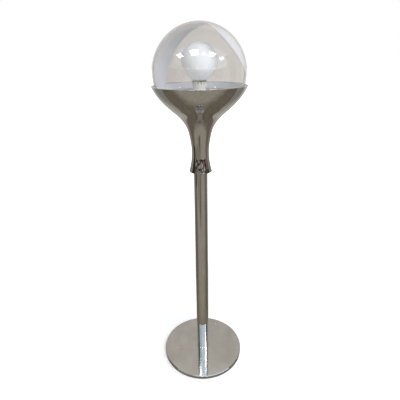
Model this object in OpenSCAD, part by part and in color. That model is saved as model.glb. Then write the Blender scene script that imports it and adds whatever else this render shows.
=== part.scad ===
/* [Base] */
// Diameter of the chromed floor disc
base_d = 350; // [300:5:400]
// Thickness of the floor disc
base_t = 15.5; // [12:0.5:20]
// Width of the bevel round the top edge of the disc
base_bevel = 1.8; // [0.4:0.1:2.5]
// Thickness of the rubber ring under the disc
pad_t = 1.5; // [1:0.5:4]
// Distance from the edge of the disc to the edge of the rubber ring
pad_inset = 6; // [2:1:15]
// Inner diameter of the rubber ring
pad_bore = 110; // [100:5:160]
// Width of the cable groove under the disc
groove_w = 9; // [8:0.5:12]
// Depth of the cable groove
groove_h = 9; // [8:0.25:10]
// Length of the rubber gland at the outer end of the groove
gland_len = 16; // [10:1:30]
// Bore of the gland
gland_bore = 6.6; // [5:0.1:7.5]

/* [Stem] */
// Outer diameter of the stem tube
stem_d = 52; // [48:0.5:54]
// Wall of the stem tube
stem_wall = 1.5; // [1:0.1:3]
// Height of the ring round the foot of the stem
foot_ring_h = 5; // [3:0.5:10]
// How far the foot ring stands out from the stem
foot_ring_out = 1.3; // [0.8:0.1:3]
// How far the stem reaches up past the throat of the trumpet
stem_reach = 23; // [18:1:28]
// Length of the steel plug in the foot of the stem
lower_plug_h = 28; // [24:1:50]
// Length of the steel plug in the top of the stem
upper_plug_h = 22; // [16:1:40]
// Thickness of the flange on the top plug
plug_flange_t = 3; // [2:0.5:6]
// Bore for the lead through the disc and the lower plug
lead_way_d = 15; // [14.5:0.5:15.5]
// Number of screws that hold the disc to the lower plug
base_screw_count = 3; // [3:1:5]
// Thread diameter of those screws
base_screw_d = 6; // [5:0.5:8]
// Radius of the circle that those screws stand on
base_screw_ring = 15; // [14.5:0.25:17]

/* [Trumpet] */
// Height of the rim above the floor
rim_h = 1183.5; // [1000:0.5:1300]
// Outer diameter at the rim
rim_d = 327; // [326:0.5:338]
// Depth of the bowl section below the rim
bowl_depth = 45; // [43:0.5:48]
// Outer diameter at the bowl section
bowl_d = 271; // [270:0.5:275]
// Depth of the side section, where the bowl is steepest
side_depth = 75; // [73:0.5:80]
// Outer diameter at the side section
side_d = 212; // [206:0.5:218]
// Depth of the turning section, where the bowl becomes the horn
turn_depth = 105; // [100:0.5:110]
// Outer diameter at the turning section
turn_d = 144.5; // [138:0.5:150]
// Depth of the horn section below the rim
horn_depth = 135; // [130:1:142]
// Outer diameter at the horn section
horn_d = 101; // [96:0.5:106]
// Depth of the neck section below the rim
neck_depth = 185; // [178:1:192]
// Outer diameter at the neck section
neck_d = 72; // [70:0.5:76]
// Depth of the throat, the narrowest section
throat_depth = 245; // [240:1:250]
// Outer diameter at the throat
throat_d = 64; // [63:0.5:67]
// Height of the whole trumpet, from its flared lip to its rim
trumpet_h = 302; // [296:1:312]
// Outer diameter of the flared lip at the bottom
lip_d = 85; // [80:0.5:92]
// Wall of the spun trumpet
trumpet_wall = 1.2; // [0.8:0.1:1.6]
// Wall of the white inner dish
dish_wall = 1; // [0.8:0.1:1.4]
// Depth below the rim at which the dish leaves the wall of the trumpet
dish_depth = 51; // [46:1:56]
// Thickness of the plate that clamps the throat of the trumpet
throat_plate_t = 6; // [4:0.5:10]
// Height of the bush between the stem and the throat
throat_bush_h = 26; // [15:1:35]
// Distance from the throat down to the bush
bush_drop = 14; // [8:1:18]

/* [Globe] */
// Outer diameter of the clear globe
globe_d = 315; // [310:0.5:318]
// Wall of the clear globe
globe_wall = 3.5; // [2.5:0.1:4.5]
// Wall of the white shell inside the globe
shell_wall = 2; // [1.5:0.1:3]
// Height of the centre of the globe above the rim
globe_rise = 36; // [34:0.5:40]
// Depth of the open edge of the globe below the rim
mouth_depth = 26; // [24:0.5:28]
// Room between that edge and the dish, taken level at the outer wall of the trumpet
mouth_gap = 2.3; // [2:0.1:3.5]
// Height of the rubber seat under the open edge
seat_h = 6.5; // [5:0.5:8]
// Width of the rubber seat
seat_w = 11; // [9:0.5:14]
// Height of the lip of the seat inside the globe
seat_lip_h = 5; // [3:0.5:8]
// Direction that the front window of the white shell faces, from the front towards +X
front_turn = -10.6; // [-16:0.2:-6]
// Distance from the centre of the globe to the cut of the front window
front_cut = 20; // [14:0.5:28]
// Direction that the back window of the white shell faces
back_turn = 176; // [170:0.5:180]
// Distance from the centre of the globe to the cut of the back window
back_cut = 20; // [14:0.5:28]
// Direction that the right arm of the white shell leans to
right_turn = 108.3; // [100:0.5:114]
// Upward slope of that direction
right_slope = 39; // [35:0.5:43]
// Distance from the centre of the globe to the front edge of the right arm
right_cut = 97; // [90:0.5:102]
// Direction that the left arm of the white shell leans to
left_turn = -48.7; // [-54:0.5:-44]
// Upward slope of that direction
left_slope = 20.4; // [17:0.5:24]
// Distance from the centre of the globe to the back edge of the left arm
left_cut = 21; // [14:0.5:28]

/* [Lampholder] */
// Outer diameter of the porcelain sleeve
holder_d = 44; // [43:0.5:48]
// Height of the top of the porcelain sleeve above the rim
holder_top = 2; // [0:0.5:3]
// Length of the porcelain sleeve
sleeve_h = 34; // [32:0.5:38]
// Height of the porcelain foot under the sleeve
holder_foot_h = 12; // [10:0.5:14]
// Outer diameter of the ribbed ring on the sleeve
ring_d = 48.6; // [48:0.2:52]
// Height of the ribbed ring
ring_h = 21; // [16:0.5:22]
// How far the ribbed ring stands above the sleeve
ring_up = 14.5; // [8:0.5:15]
// Number of grip ribs on the ring
ring_ribs = 36; // [12:1:60]
// Outer diameter of the hollow threaded pipe that carries the lampholder
pipe_d = 10; // [9:0.5:12]
// Bore of that pipe
pipe_bore = 7.5; // [6.8:0.1:8]

/* [Bulb] */
// Diameter of the round glass of the bulb
bulb_d = 121.5; // [95:0.5:125]
// Diameter of the screw cap
cap_d = 26.2; // [26:0.05:26.4]
// Height of the screw cap, from its contact to its upper edge
cap_h = 27; // [25:0.5:28]
// Height of the contact of the cap above the foot of the porcelain sleeve
cap_set = 3.5; // [3:0.1:5]
// Diameter of the bulb's neck
bulb_neck_d = 34; // [30:0.5:35]
// Height of the neck, from the cap to the hollow curve
bulb_neck_h = 7; // [6.5:0.5:14]
// Radius of the hollow curve between the neck and the round glass
bulb_fillet = 16; // [15:1:30]
// Wall of the bulb's glass
bulb_wall = 0.8; // [0.6:0.1:1.2]

/* [Wiring] */
// Diameter of the two-core lead inside the stem
lead_d = 6; // [5:0.1:6.4]
// Diameter of one insulated core
core_d = 2.4; // [2:0.1:2.8]
// Bend radius of the lead where it turns up into the stem
lead_bend = 11; // [10:0.5:11.5]
// Length of the terminal block
block_len = 26; // [20:1:30]
// Width of the terminal block
block_w = 20; // [16:1:24]
// Height of the terminal block
block_h = 8; // [6:0.25:8]

/* [Hidden] */

$fn = 96;
// Gap between still pieces that fit in or round each other
fit = 0.1;
// Gap between a skin and the wall behind it
skin_gap = 0.4;
// Gap between pieces that move past each other
run_gap = 0.3;
// Overshoot of a cutting solid past the face that it cuts
over = 1;
// Steps in which a spun profile is drawn
profile_step = 6;
// Steps of a small round edge
edge_steps = 6;

base_r = base_d / 2;
base_top = pad_t + base_t;
base_under_bevel = 0.5;
groove_top = pad_t + groove_h;
pad_r = base_r - pad_inset;
gland_set = 0.6;
recess_gap = 1;
block_start = 18;
block_low = groove_top - block_h;
block_screw_d = 4;
block_screw_set = 0.5;

base_screw_head_r = base_screw_d;
base_screw_sink = 0.4;
base_screw_grip = lower_plug_h - 10;
base_screw_bore = lower_plug_h - 8;

stem_r = stem_d / 2;
stem_bore_r = stem_r - stem_wall;
stem_top = rim_h - throat_depth + stem_reach;
plug_top = stem_top + plug_flange_t;
plate_top = plug_top + throat_plate_t;
plug_low = stem_top - upper_plug_h;

globe_r = globe_d / 2;
globe_z = rim_h + globe_rise;
mouth_z = rim_h - mouth_depth;
shell_gap = 0.5;
shell_r = globe_r - globe_wall - shell_gap;
// Upward slope of the direction that both windows face
window_slope = -1;

skin_inside = trumpet_wall + skin_gap;
mouth_r = sqrt(globe_r ^ 2 - (globe_z - mouth_z) ^ 2);

// Outer sections of the trumpet, each as its depth below the rim and its radius
SECTIONS = [
    [0, rim_d / 2], [mouth_depth, mouth_r + mouth_gap + skin_inside + dish_wall],
    [bowl_depth, bowl_d / 2], [side_depth, side_d / 2], [turn_depth, turn_d / 2],
    [horn_depth, horn_d / 2], [neck_depth, neck_d / 2], [throat_depth, throat_d / 2],
    [trumpet_h, lip_d / 2]
];
LAST = len(SECTIONS) - 1;

// Slope of the straight line from section i to the next one
function chord(i) =
    (SECTIONS[i + 1][1] - SECTIONS[i][1]) / (SECTIONS[i + 1][0] - SECTIONS[i][0]);
// Slope of the profile where it passes an inner section
function inner_slope(i) =
    let (before = SECTIONS[i][0] - SECTIONS[i - 1][0], after = SECTIONS[i + 1][0] - SECTIONS[i][0])
    (chord(i - 1) * after + chord(i) * before) / (before + after);
// Slope of the profile at any section
function slope_at(i) =
    i == 0 ? 2 * chord(0) - inner_slope(1)
    : i == LAST ? 2 * chord(LAST - 1) - inner_slope(LAST - 1)
    : inner_slope(i);
// Number of the section that starts the stretch which holds depth d
function stretch(d, i = 0) = i >= LAST - 1 || d < SECTIONS[i + 1][0] ? i : stretch(d, i + 1);
// Outer radius of the trumpet at depth d, a cubic curve through the sections
function outer_r(d) =
    let (i = stretch(d), h = SECTIONS[i + 1][0] - SECTIONS[i][0], t = (d - SECTIONS[i][0]) / h)
    (2 * t ^ 3 - 3 * t ^ 2 + 1) * SECTIONS[i][1] + (t ^ 3 - 2 * t ^ 2 + t) * h * slope_at(i)
    + (3 * t ^ 2 - 2 * t ^ 3) * SECTIONS[i + 1][1] + (t ^ 3 - t ^ 2) * h * slope_at(i + 1);
// Slope of the outer surface at depth d
function outer_slope(d) = outer_r(d + 0.5) - outer_r(d - 0.5);
// Point that lies the distance "inside" behind the outer surface at depth d
function wall_point(d, inside) =
    let (s = outer_slope(d), n = sqrt(1 + s ^ 2))
    [outer_r(d) - inside / n, rim_h - d - s * inside / n];
// Points along the wall, from one depth to another
function wall_line(from, to, inside) =
    let (count = ceil(abs(to - from) / profile_step))
    [for (k = [0:count]) wall_point(from + (to - from) * k / count, inside)];
// Depth at which the line at the distance "inside" behind the surface lies at height z
function depth_for(z, inside, d, tries = 6) =
    tries == 0 ? d : depth_for(z, inside, d + wall_point(d, inside)[1] - z, tries - 1);
// Point of that line at height z
function wall_at(z, inside) = [wall_point(depth_for(z, inside, rim_h - z), inside)[0], z];
// Points of an arc about a centre
function arc(centre, r, a0, a1, steps) =
    [for (k = [0:steps]) centre + r * [cos(a0 + (a1 - a0) * k / steps), sin(a0 + (a1 - a0) * k / steps)]];
// Direction of travel of the outer surface at depth d, as an angle
function wall_angle(d) = atan2(-1, outer_slope(d));

dish_top = 2.2;
dish_foot = wall_point(dish_depth, skin_inside);
dish_low = dish_foot[1];
dish_floor = dish_low + dish_wall;
seat_inside = skin_inside + dish_wall + run_gap;
seat_lip_gap = 0.6;
seat_lip_t = 2;
seat_heel = 3;

pipe_r = pipe_d / 2;
nut_flats = 17;
nut_t = 4;
washer_t = 1.5;
washer_r = 11;

sleeve_top = rim_h + holder_top;
sleeve_low = sleeve_top - sleeve_h;
sleeve_edge = 3;

bulb_r = bulb_d / 2;
cap_r = cap_d / 2;
cap_tip = sleeve_low + cap_set;
cap_top = cap_tip + cap_h;
// Centre of the hollow curve above the neck
hollow_r = bulb_neck_d / 2 + bulb_fillet;
hollow_z = cap_top + bulb_neck_h;
bulb_z = hollow_z + sqrt((bulb_r + bulb_fillet) ^ 2 - hollow_r ^ 2);
cap_wall = 0.5;
cap_hole_r = cap_r - 4;
contact_r = 4.6;
contact_h = 1.5;
insulator_low_r = 5;
insulator_high_r = cap_r - 2;
insulator_h = 4;
cap_low = cap_tip + contact_h + insulator_h;
glass_foot_r = cap_r - 0.9;
glass_foot_low = cap_top - 6;
glass_foot_top = cap_top + 0.5;
glass_flare_top = cap_top + 3.5;

foot_low = sleeve_low - holder_foot_h;
foot_r = holder_d / 2 - 2;
socket_r = cap_r + run_gap;
socket_wall = 0.5;
socket_low = cap_low - 2;
socket_top = sleeve_top - 6;
socket_seat_r = socket_r - 1.4;
neck_room_r = 19.5;
holder_screw_d = 3;
holder_screw_y = 17.6;
holder_screw_grip = 18;
holder_screw_spare = 2;
bracket_neck_r = 9;
bracket_disc_r = 19;
bracket_disc_t = 2.5;
ring_top = sleeve_top + ring_up;
ring_low = ring_top - ring_h;
ring_shoulder = 2;
rib_r = 0.5;
rib_end = 2;
way_r = 5;
way_top = foot_low + holder_foot_h / 2 + 2;
slot_half = 2;
terminal_z = foot_low + holder_foot_h / 2;
terminal_x = 12.5;
terminal_d = 4;
spring_half = [3, 9];
spring_t = 0.6;
spring_tip_r = 2;

lead_z = pad_t + groove_h / 2;
core_x = lead_d / 4;

mount_foot_top = cap_top + 7;
mount_stem_r = 5;
mount_stem_top = cap_top + 37;
wire_root = [3, mount_stem_top - 1];
wire_lean = 25;
wire_len = 26;
wire_d = 1;
filament_d = 0.9;

// A tube about the vertical axis
module tube(r_out, r_in, z0, z1) {
    difference() {
        translate([0, 0, z0]) cylinder(r = r_out, h = z1 - z0);
        translate([0, 0, z0 - over]) cylinder(r = r_in, h = z1 - z0 + 2 * over);
    }
}

// A block given by its lowest and its highest corner
module block(low, high) {
    translate(low) cube(high - low);
}

// The half of space beyond a plane that faces a direction, seen from the centre of the globe
module beyond(turn, slope, distance) {
    side = 3 * globe_d;
    translate([0, 0, globe_z])
        rotate([0, -slope, turn - 90])
            translate([distance, -side / 2, -side / 2]) cube(side);
}

// Everything below a height
module below(z) {
    side = 3 * globe_d;
    translate([-side / 2, -side / 2, z - side]) cube(side);
}

// A hexagon nut round the threaded pipe
module pipe_nut(z) {
    difference() {
        translate([0, 0, z]) cylinder(d = nut_flats / cos(30), h = nut_t, $fn = 6);
        translate([0, 0, z - over]) cylinder(r = pipe_r + fit, h = nut_t + 2 * over);
    }
}

// The places of the screws under the disc
module base_screw_places() {
    for (k = [0:base_screw_count - 1])
        rotate([0, 0, -90 + 360 * k / base_screw_count])
            translate([base_screw_ring, 0, 0]) children();
}

// Rubber ring that the lamp stands on
module floor_pad() {
    color("#2b2b2b") tube(pad_r, pad_bore / 2, 0, pad_t);
}

// Chromed disc, grooved below for the lead
module base_plate() {
    r = base_screw_d / 2;
    color("#b9b6ae") difference() {
        rotate_extrude() polygon([
            [0, pad_t], [base_r - base_under_bevel, pad_t], [base_r, pad_t + base_under_bevel],
            [base_r, base_top - base_bevel], [base_r - base_bevel, base_top], [0, base_top]
        ]);
        translate([0, 0, pad_t - over]) cylinder(d = lead_way_d, h = base_t + 2 * over);
        block([-groove_w / 2, 0, pad_t - over], [groove_w / 2, base_r + over, groove_top]);
        block([-block_w / 2 - recess_gap, block_start - recess_gap, pad_t - over],
              [block_w / 2 + recess_gap, block_start + block_len + recess_gap, groove_top]);
        base_screw_places() {
            translate([0, 0, pad_t - over]) cylinder(d = base_screw_d + 2 * fit, h = base_t + 2 * over);
            translate([0, 0, pad_t]) cylinder(r1 = base_screw_head_r, r2 = r, h = base_screw_head_r - r);
        }
    }
}

// Rubber gland at the outer end of the groove
module cable_gland() {
    outer = base_r - gland_set;
    color("#262626") difference() {
        block([-groove_w / 2 + fit, outer - gland_len, pad_t], [groove_w / 2 - fit, outer, groove_top]);
        translate([0, outer + over, lead_z])
            rotate([90, 0, 0]) cylinder(d = gland_bore, h = gland_len + 2 * over);
    }
}

// The places of the clamp screws in the terminal block
module block_screw_places() {
    for (x = [-1, 1], y = [1, 3])
        translate([x * block_w / 4, block_start + y * block_len / 4, block_low]) children();
}

// Terminal block in the recess of the disc
module terminal_block() {
    color("#e4e0d2") difference() {
        block([-block_w / 2, block_start, block_low],
              [block_w / 2, block_start + block_len, groove_top]);
        block_screw_places()
            translate([0, 0, -over]) cylinder(d = block_screw_d, h = block_h / 2 + over);
    }
}

// Clamp screws of the terminal block
module block_screws() {
    color("#c8b070") block_screw_places()
        translate([0, 0, block_screw_set])
            cylinder(d = block_screw_d - 2 * fit, h = block_h / 2 - block_screw_set);
}

// Countersunk screws that hold the disc to the lower plug
module base_screws() {
    r = base_screw_d / 2;
    cone_r = base_screw_head_r - 2 * fit;
    color("#8d8d8d") base_screw_places() rotate_extrude() polygon([
        [0, pad_t + base_screw_sink], [cone_r - base_screw_sink, pad_t + base_screw_sink],
        [r, pad_t + cone_r - r], [r, base_top + base_screw_grip], [0, base_top + base_screw_grip]
    ]);
}

// Ring round the foot of the stem
module foot_ring() {
    inner = stem_r + fit;
    outer = stem_r + foot_ring_out;
    round_r = (outer - inner) * 0.8;
    color("#b9b6ae") rotate_extrude() polygon(concat(
        [[inner, base_top], [outer, base_top]],
        arc([outer - round_r, base_top + foot_ring_h - round_r], round_r, 0, 90, edge_steps),
        [[inner, base_top + foot_ring_h]]
    ));
}

// Chromed stem
module stem_tube() {
    color("#a8a59d") tube(stem_r, stem_bore_r, base_top, stem_top);
}

// Steel plug in the foot of the stem, tapped for the screws of the disc
module lower_plug() {
    color("#7d7d7d") difference() {
        tube(stem_bore_r - fit, lead_way_d / 2, base_top, base_top + lower_plug_h);
        base_screw_places()
            translate([0, 0, base_top - over])
                cylinder(d = base_screw_d + 2 * fit, h = base_screw_bore + over);
    }
}

// Flanged steel plug in the top of the stem
module upper_plug() {
    color("#7d7d7d") difference() {
        union() {
            translate([0, 0, plug_low]) cylinder(r = stem_bore_r - fit, h = upper_plug_h);
            translate([0, 0, stem_top]) cylinder(r = stem_r, h = plug_flange_t);
        }
        translate([0, 0, plug_low - over])
            cylinder(r = pipe_r + fit, h = upper_plug_h + plug_flange_t + 2 * over);
    }
}

// Bush between the stem and the flared end of the trumpet
module throat_bush() {
    high = throat_depth + bush_drop;
    low = high + throat_bush_h;
    color("#3c3c3c") rotate_extrude() polygon(concat(
        wall_line(low, high, skin_inside), [[stem_r + fit, rim_h - high], [stem_r + fit, rim_h - low]]
    ));
}

// Plate that clamps the throat of the trumpet to the stem
module throat_plate() {
    color("#8a8a8a") rotate_extrude() polygon([
        [pipe_r + fit, plug_top], wall_at(plug_top, skin_inside), wall_at(plate_top, skin_inside),
        [pipe_r + fit, plate_top]
    ]);
}

// Spun and chromed trumpet with a rounded rim and a rounded lip
module trumpet_cup() {
    half = trumpet_wall / 2;
    rim = wall_point(half, half);
    lip = wall_point(trumpet_h - half, half);
    rim_a = wall_angle(half) + 90;
    lip_a = wall_angle(trumpet_h - half) + 90;
    color("#a39c8e") rotate_extrude() polygon(concat(
        wall_line(trumpet_h - half, half, 0),
        arc(rim, half, rim_a, rim_a + 180, edge_steps),
        wall_line(half, trumpet_h - half, trumpet_wall),
        arc(lip, half, lip_a + 180, lip_a + 360, edge_steps)
    ));
}

// White dish that lines the bowl and floors it under the bulb
module inner_dish() {
    color("#f2f2ee") rotate_extrude() polygon(concat(
        wall_line(dish_top, dish_depth, skin_inside),
        [[pipe_r + fit, dish_low], [pipe_r + fit, dish_floor]],
        wall_line(dish_depth, dish_top, skin_inside + dish_wall)
    ));
}

// Hollow threaded pipe from the top plug to the lampholder
module threaded_pipe() {
    color("#b59a5b") tube(pipe_r, pipe_bore / 2, plug_low, foot_low);
}

// Nuts on the threaded pipe
module pipe_nuts() {
    color("#b59a5b") {
        pipe_nut(plate_top + washer_t);
        pipe_nut(dish_low - washer_t - nut_t);
    }
}

// Washers on the threaded pipe
module pipe_washers() {
    color("#9a9a9a") {
        tube(washer_r, pipe_r + fit, plate_top, plate_top + washer_t);
        tube(washer_r, pipe_r + fit, dish_low - washer_t, dish_low);
    }
}

// Steel bracket that carries the lampholder above the dish
module holder_bracket() {
    color("#9a9a9a") difference() {
        union() {
            translate([0, 0, dish_floor]) cylinder(r = bracket_neck_r, h = foot_low - dish_floor);
            translate([0, 0, foot_low - bracket_disc_t]) cylinder(r = bracket_disc_r, h = bracket_disc_t);
        }
        translate([0, 0, dish_floor - over])
            cylinder(r = pipe_r + fit, h = foot_low - dish_floor + 2 * over);
    }
}

// The places of the screws that join the foot and the sleeve
module holder_screw_places() {
    for (side = [-1, 1]) translate([0, side * holder_screw_y, 0]) children();
}

// Porcelain foot of the lampholder, which holds the contacts and the terminals
module holder_foot() {
    color("#efece4") difference() {
        translate([0, 0, foot_low]) cylinder(r = foot_r, h = holder_foot_h);
        translate([0, 0, foot_low - over]) cylinder(r = way_r, h = way_top - foot_low + over);
        block([-terminal_x - fit, -slot_half, foot_low - over], [terminal_x + fit, slot_half, way_top]);
        for (side = [-1, 1])
            translate([side * terminal_x, 0, terminal_z])
                rotate([0, side * 90, 0]) cylinder(d = terminal_d + 2 * fit, h = holder_d);
        holder_screw_places()
            translate([0, 0, foot_low - over])
                cylinder(d = holder_screw_d + 2 * fit, h = holder_foot_h + 2 * over);
    }
}

// Porcelain sleeve of the lampholder
module holder_sleeve() {
    outer = holder_d / 2;
    color("#f4f2ec") difference() {
        rotate_extrude() polygon(concat(
            [[socket_seat_r, socket_low], [socket_seat_r, sleeve_low]],
            arc([outer - sleeve_edge, sleeve_low + sleeve_edge], sleeve_edge, -90, 0, edge_steps),
            [[outer, sleeve_top], [neck_room_r, sleeve_top], [neck_room_r, socket_top],
             [socket_r + socket_wall + fit, socket_top], [socket_r + socket_wall + fit, socket_low]]
        ));
        holder_screw_places()
            translate([0, 0, sleeve_low - over])
                cylinder(d = holder_screw_d + 2 * fit, h = holder_screw_grip + holder_screw_spare + over);
    }
}

// Ribbed ring on the lampholder, with a shoulder that rests on the sleeve
module holder_ring() {
    inner = holder_d / 2 + run_gap;
    skin = ring_d / 2 - rib_r;
    color("#ded9cb") union() {
        rotate_extrude() polygon([
            [inner, ring_low], [skin, ring_low], [skin, ring_top], [inner, ring_top],
            [inner, sleeve_top + ring_shoulder], [neck_room_r, sleeve_top + ring_shoulder],
            [neck_room_r, sleeve_top], [inner, sleeve_top]
        ]);
        for (k = [0:ring_ribs - 1])
            rotate([0, 0, 360 * k / ring_ribs])
                translate([skin, 0, ring_low + rib_end]) cylinder(r = rib_r, h = ring_h - 2 * rib_end);
    }
}

// Screw shell that the cap of the bulb turns in
module screw_shell() {
    color("#c9a24a") tube(socket_r + socket_wall, socket_r, socket_low, socket_top);
}

// Sprung contact in the middle of the lampholder
module centre_contact() {
    spring_top = sleeve_low + spring_t;
    color("#c9a24a") {
        block([-spring_half[0], -spring_half[1], sleeve_low], [spring_half[0], spring_half[1], spring_top]);
        translate([0, 0, spring_top])
            cylinder(r1 = spring_half[0], r2 = spring_tip_r, h = cap_tip - fit - spring_top);
    }
}

// Screws that join the foot and the sleeve of the lampholder
module holder_screws() {
    color("#8d8d8d") holder_screw_places()
        translate([0, 0, foot_low]) cylinder(d = holder_screw_d, h = holder_foot_h + holder_screw_grip);
}

// Terminal screws of the lampholder
module terminal_screws() {
    color("#c9a24a")
        for (side = [-1, 1])
            translate([side * terminal_x, 0, terminal_z])
                rotate([0, side * 90, 0]) cylinder(d = terminal_d, h = foot_r - terminal_x);
}

// Two-core lead, from the terminal block up the stem to the lampholder
module supply_lead() {
    color("#d8d4c8") union() {
        translate([0, block_start, lead_z])
            rotate([90, 0, 0]) cylinder(d = lead_d, h = block_start - lead_bend);
        translate([0, lead_bend, lead_z + lead_bend])
            rotate([90, 0, 90]) rotate([0, 0, 180])
                rotate_extrude(angle = 90) translate([lead_bend, 0]) circle(d = lead_d);
        translate([0, 0, lead_z + lead_bend]) cylinder(d = lead_d, h = foot_low - lead_z - lead_bend);
    }
}

// The two cores of the lead inside the lampholder
module lead_cores() {
    color("#7a5a3a")
        for (side = [-1, 1])
            translate([side * core_x, 0, 0]) {
                translate([0, 0, foot_low]) cylinder(d = core_d, h = terminal_z - foot_low);
                translate([0, 0, terminal_z]) sphere(d = core_d);
                translate([0, 0, terminal_z])
                    rotate([0, side * 90, 0]) cylinder(d = core_d, h = terminal_x - core_x);
            }
}

// Rubber seat that the open edge of the globe stands in
module globe_seat() {
    low = wall_at(mouth_z - seat_h, seat_inside);
    shell_in = sqrt((shell_r - shell_wall) ^ 2 - (globe_z - mouth_z) ^ 2);
    lip_out = shell_in - seat_lip_gap;
    lip_in = lip_out - seat_lip_t;
    color("#57534c") rotate_extrude() polygon([
        wall_at(mouth_z, seat_inside), low, [low[0] - seat_w + seat_heel, low[1]], [lip_in, mouth_z],
        [lip_in, mouth_z + seat_lip_h], [lip_out, mouth_z + seat_lip_h], [lip_out, mouth_z]
    ]);
}

// Clear globe, open at the bottom
module clear_globe() {
    color("#dfe6ea", 0.3) difference() {
        translate([0, 0, globe_z]) sphere(r = globe_r);
        translate([0, 0, globe_z]) sphere(r = globe_r - globe_wall);
        below(mouth_z);
    }
}

// White shell inside the globe, with a front window and a back window
module white_shell() {
    color("#f3f5f8") difference() {
        translate([0, 0, globe_z]) sphere(r = shell_r);
        translate([0, 0, globe_z]) sphere(r = shell_r - shell_wall);
        below(mouth_z);
        difference() {
            beyond(front_turn, window_slope, front_cut);
            beyond(right_turn, right_slope, right_cut);
        }
        difference() {
            beyond(back_turn, window_slope, back_cut);
            beyond(left_turn, left_slope, left_cut);
        }
    }
}

// Outline of the bulb's glass, set in by a distance
function glass_line(inset) =
    let (
        lean = acos(hollow_r / (bulb_r + bulb_fillet)),
        crown = arc([0, bulb_z], bulb_r - inset, -lean, 90, 40)
    )
    concat(
        [[glass_foot_r - inset, glass_foot_low], [glass_foot_r - inset, glass_foot_top],
         [bulb_neck_d / 2 - inset, glass_flare_top]],
        arc([hollow_r, hollow_z], bulb_fillet + inset, 180, 180 - lean, 8),
        [for (k = [1:len(crown) - 2]) crown[k]], [[0, bulb_z + bulb_r - inset]]
    );

// Points in reverse order
function reversed(points) = [for (k = [len(points) - 1:-1:0]) points[k]];

// Opal glass of the bulb
module bulb_glass() {
    color("#f4f6f8") rotate_extrude() polygon(concat(glass_line(0), reversed(glass_line(bulb_wall))));
}

// Screw cap of the bulb
module bulb_cap() {
    color("#b8b4a8") difference() {
        translate([0, 0, cap_low]) cylinder(r = cap_r, h = cap_top - cap_low);
        translate([0, 0, cap_low + cap_wall]) cylinder(r = cap_r - cap_wall, h = cap_top - cap_low);
        translate([0, 0, cap_low - over]) cylinder(r = cap_hole_r, h = cap_wall + 2 * over);
    }
}

// Black glass insulator at the end of the cap
module bulb_insulator() {
    color("#1d1d22") translate([0, 0, cap_low - insulator_h])
        cylinder(r1 = insulator_low_r, r2 = insulator_high_r, h = insulator_h);
}

// Contact button of the bulb
module bulb_contact() {
    color("#c8c4ba") translate([0, 0, cap_tip]) cylinder(r = contact_r, h = contact_h);
}

// Glass stem with the two wires that hold the filament
module filament_mount() {
    foot_z = glass_foot_low + over;
    mount_foot_r = glass_foot_r - bulb_wall - fit;
    color("#cfd6da") union() {
        translate([0, 0, foot_z])
            cylinder(r1 = mount_foot_r, r2 = mount_stem_r, h = mount_foot_top - foot_z);
        translate([0, 0, mount_foot_top]) cylinder(r = mount_stem_r, h = mount_stem_top - mount_foot_top);
        for (side = [-1, 1])
            translate([side * wire_root[0], 0, wire_root[1]])
                rotate([0, side * wire_lean, 0]) cylinder(d = wire_d, h = wire_len);
    }
}

// Filament, bent between its two wires
module filament() {
    reach = wire_root[0] + wire_len * sin(wire_lean);
    wire_top = wire_root[1] + wire_len * cos(wire_lean) + wire_d / 2 * sin(wire_lean);
    color("#6a5a40") translate([0, 0, wire_top])
        rotate([90, 0, 0]) rotate_extrude(angle = 180) translate([reach, 0]) circle(d = filament_d);
}

floor_pad();
base_plate();
cable_gland();
terminal_block();
block_screws();
base_screws();
foot_ring();
stem_tube();
lower_plug();
upper_plug();
throat_bush();
throat_plate();
trumpet_cup();
inner_dish();
threaded_pipe();
pipe_nuts();
pipe_washers();
holder_bracket();
holder_foot();
holder_sleeve();
holder_ring();
screw_shell();
centre_contact();
holder_screws();
terminal_screws();
supply_lead();
lead_cores();
globe_seat();
clear_globe();
white_shell();
bulb_glass();
bulb_cap();
bulb_insulator();
bulb_contact();
filament_mount();
filament();
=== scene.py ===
"""Finishes, fine parts and studio of the globe floor lamp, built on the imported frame."""

import logging
import math
from dataclasses import dataclass, field
from enum import Enum
from functools import cache

import bmesh
import bpy
from mathutils import Matrix, Vector


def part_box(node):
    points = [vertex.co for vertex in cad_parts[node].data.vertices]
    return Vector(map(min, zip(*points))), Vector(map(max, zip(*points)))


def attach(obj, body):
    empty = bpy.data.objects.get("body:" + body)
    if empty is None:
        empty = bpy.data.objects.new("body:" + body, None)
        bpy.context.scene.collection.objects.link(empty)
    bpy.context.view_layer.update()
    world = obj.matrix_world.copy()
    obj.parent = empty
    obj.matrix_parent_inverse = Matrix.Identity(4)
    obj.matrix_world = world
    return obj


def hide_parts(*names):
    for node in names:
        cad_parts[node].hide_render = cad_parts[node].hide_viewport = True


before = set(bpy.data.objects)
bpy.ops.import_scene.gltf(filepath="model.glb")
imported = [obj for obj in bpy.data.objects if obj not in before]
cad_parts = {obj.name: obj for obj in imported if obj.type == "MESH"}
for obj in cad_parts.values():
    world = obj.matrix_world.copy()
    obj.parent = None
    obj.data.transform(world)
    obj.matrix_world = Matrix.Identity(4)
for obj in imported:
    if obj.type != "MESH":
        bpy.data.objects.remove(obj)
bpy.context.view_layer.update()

LOG = logging.getLogger("globe_lamp")
MM = 0.001
TURN = 2 * math.pi
NODES: dict[str, bpy.types.Object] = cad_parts

Colour = tuple[float, float, float]
Point = tuple[float, float, float]
Outline = list[tuple[float, float]]
Socket = bpy.types.NodeSocket


def srgb(*levels: int) -> Colour:
    """Turns a colour as seen on a screen into the linear values that shaders use.

    Args:
        *levels: Red, green and blue, from 0 to 255.

    Returns:
        The linear colour.
    """
    shares = [level / 255 for level in levels]
    return tuple(s / 12.92 if s <= 0.04045 else ((s + 0.055) / 1.055) ** 2.4 for s in shares)


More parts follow.
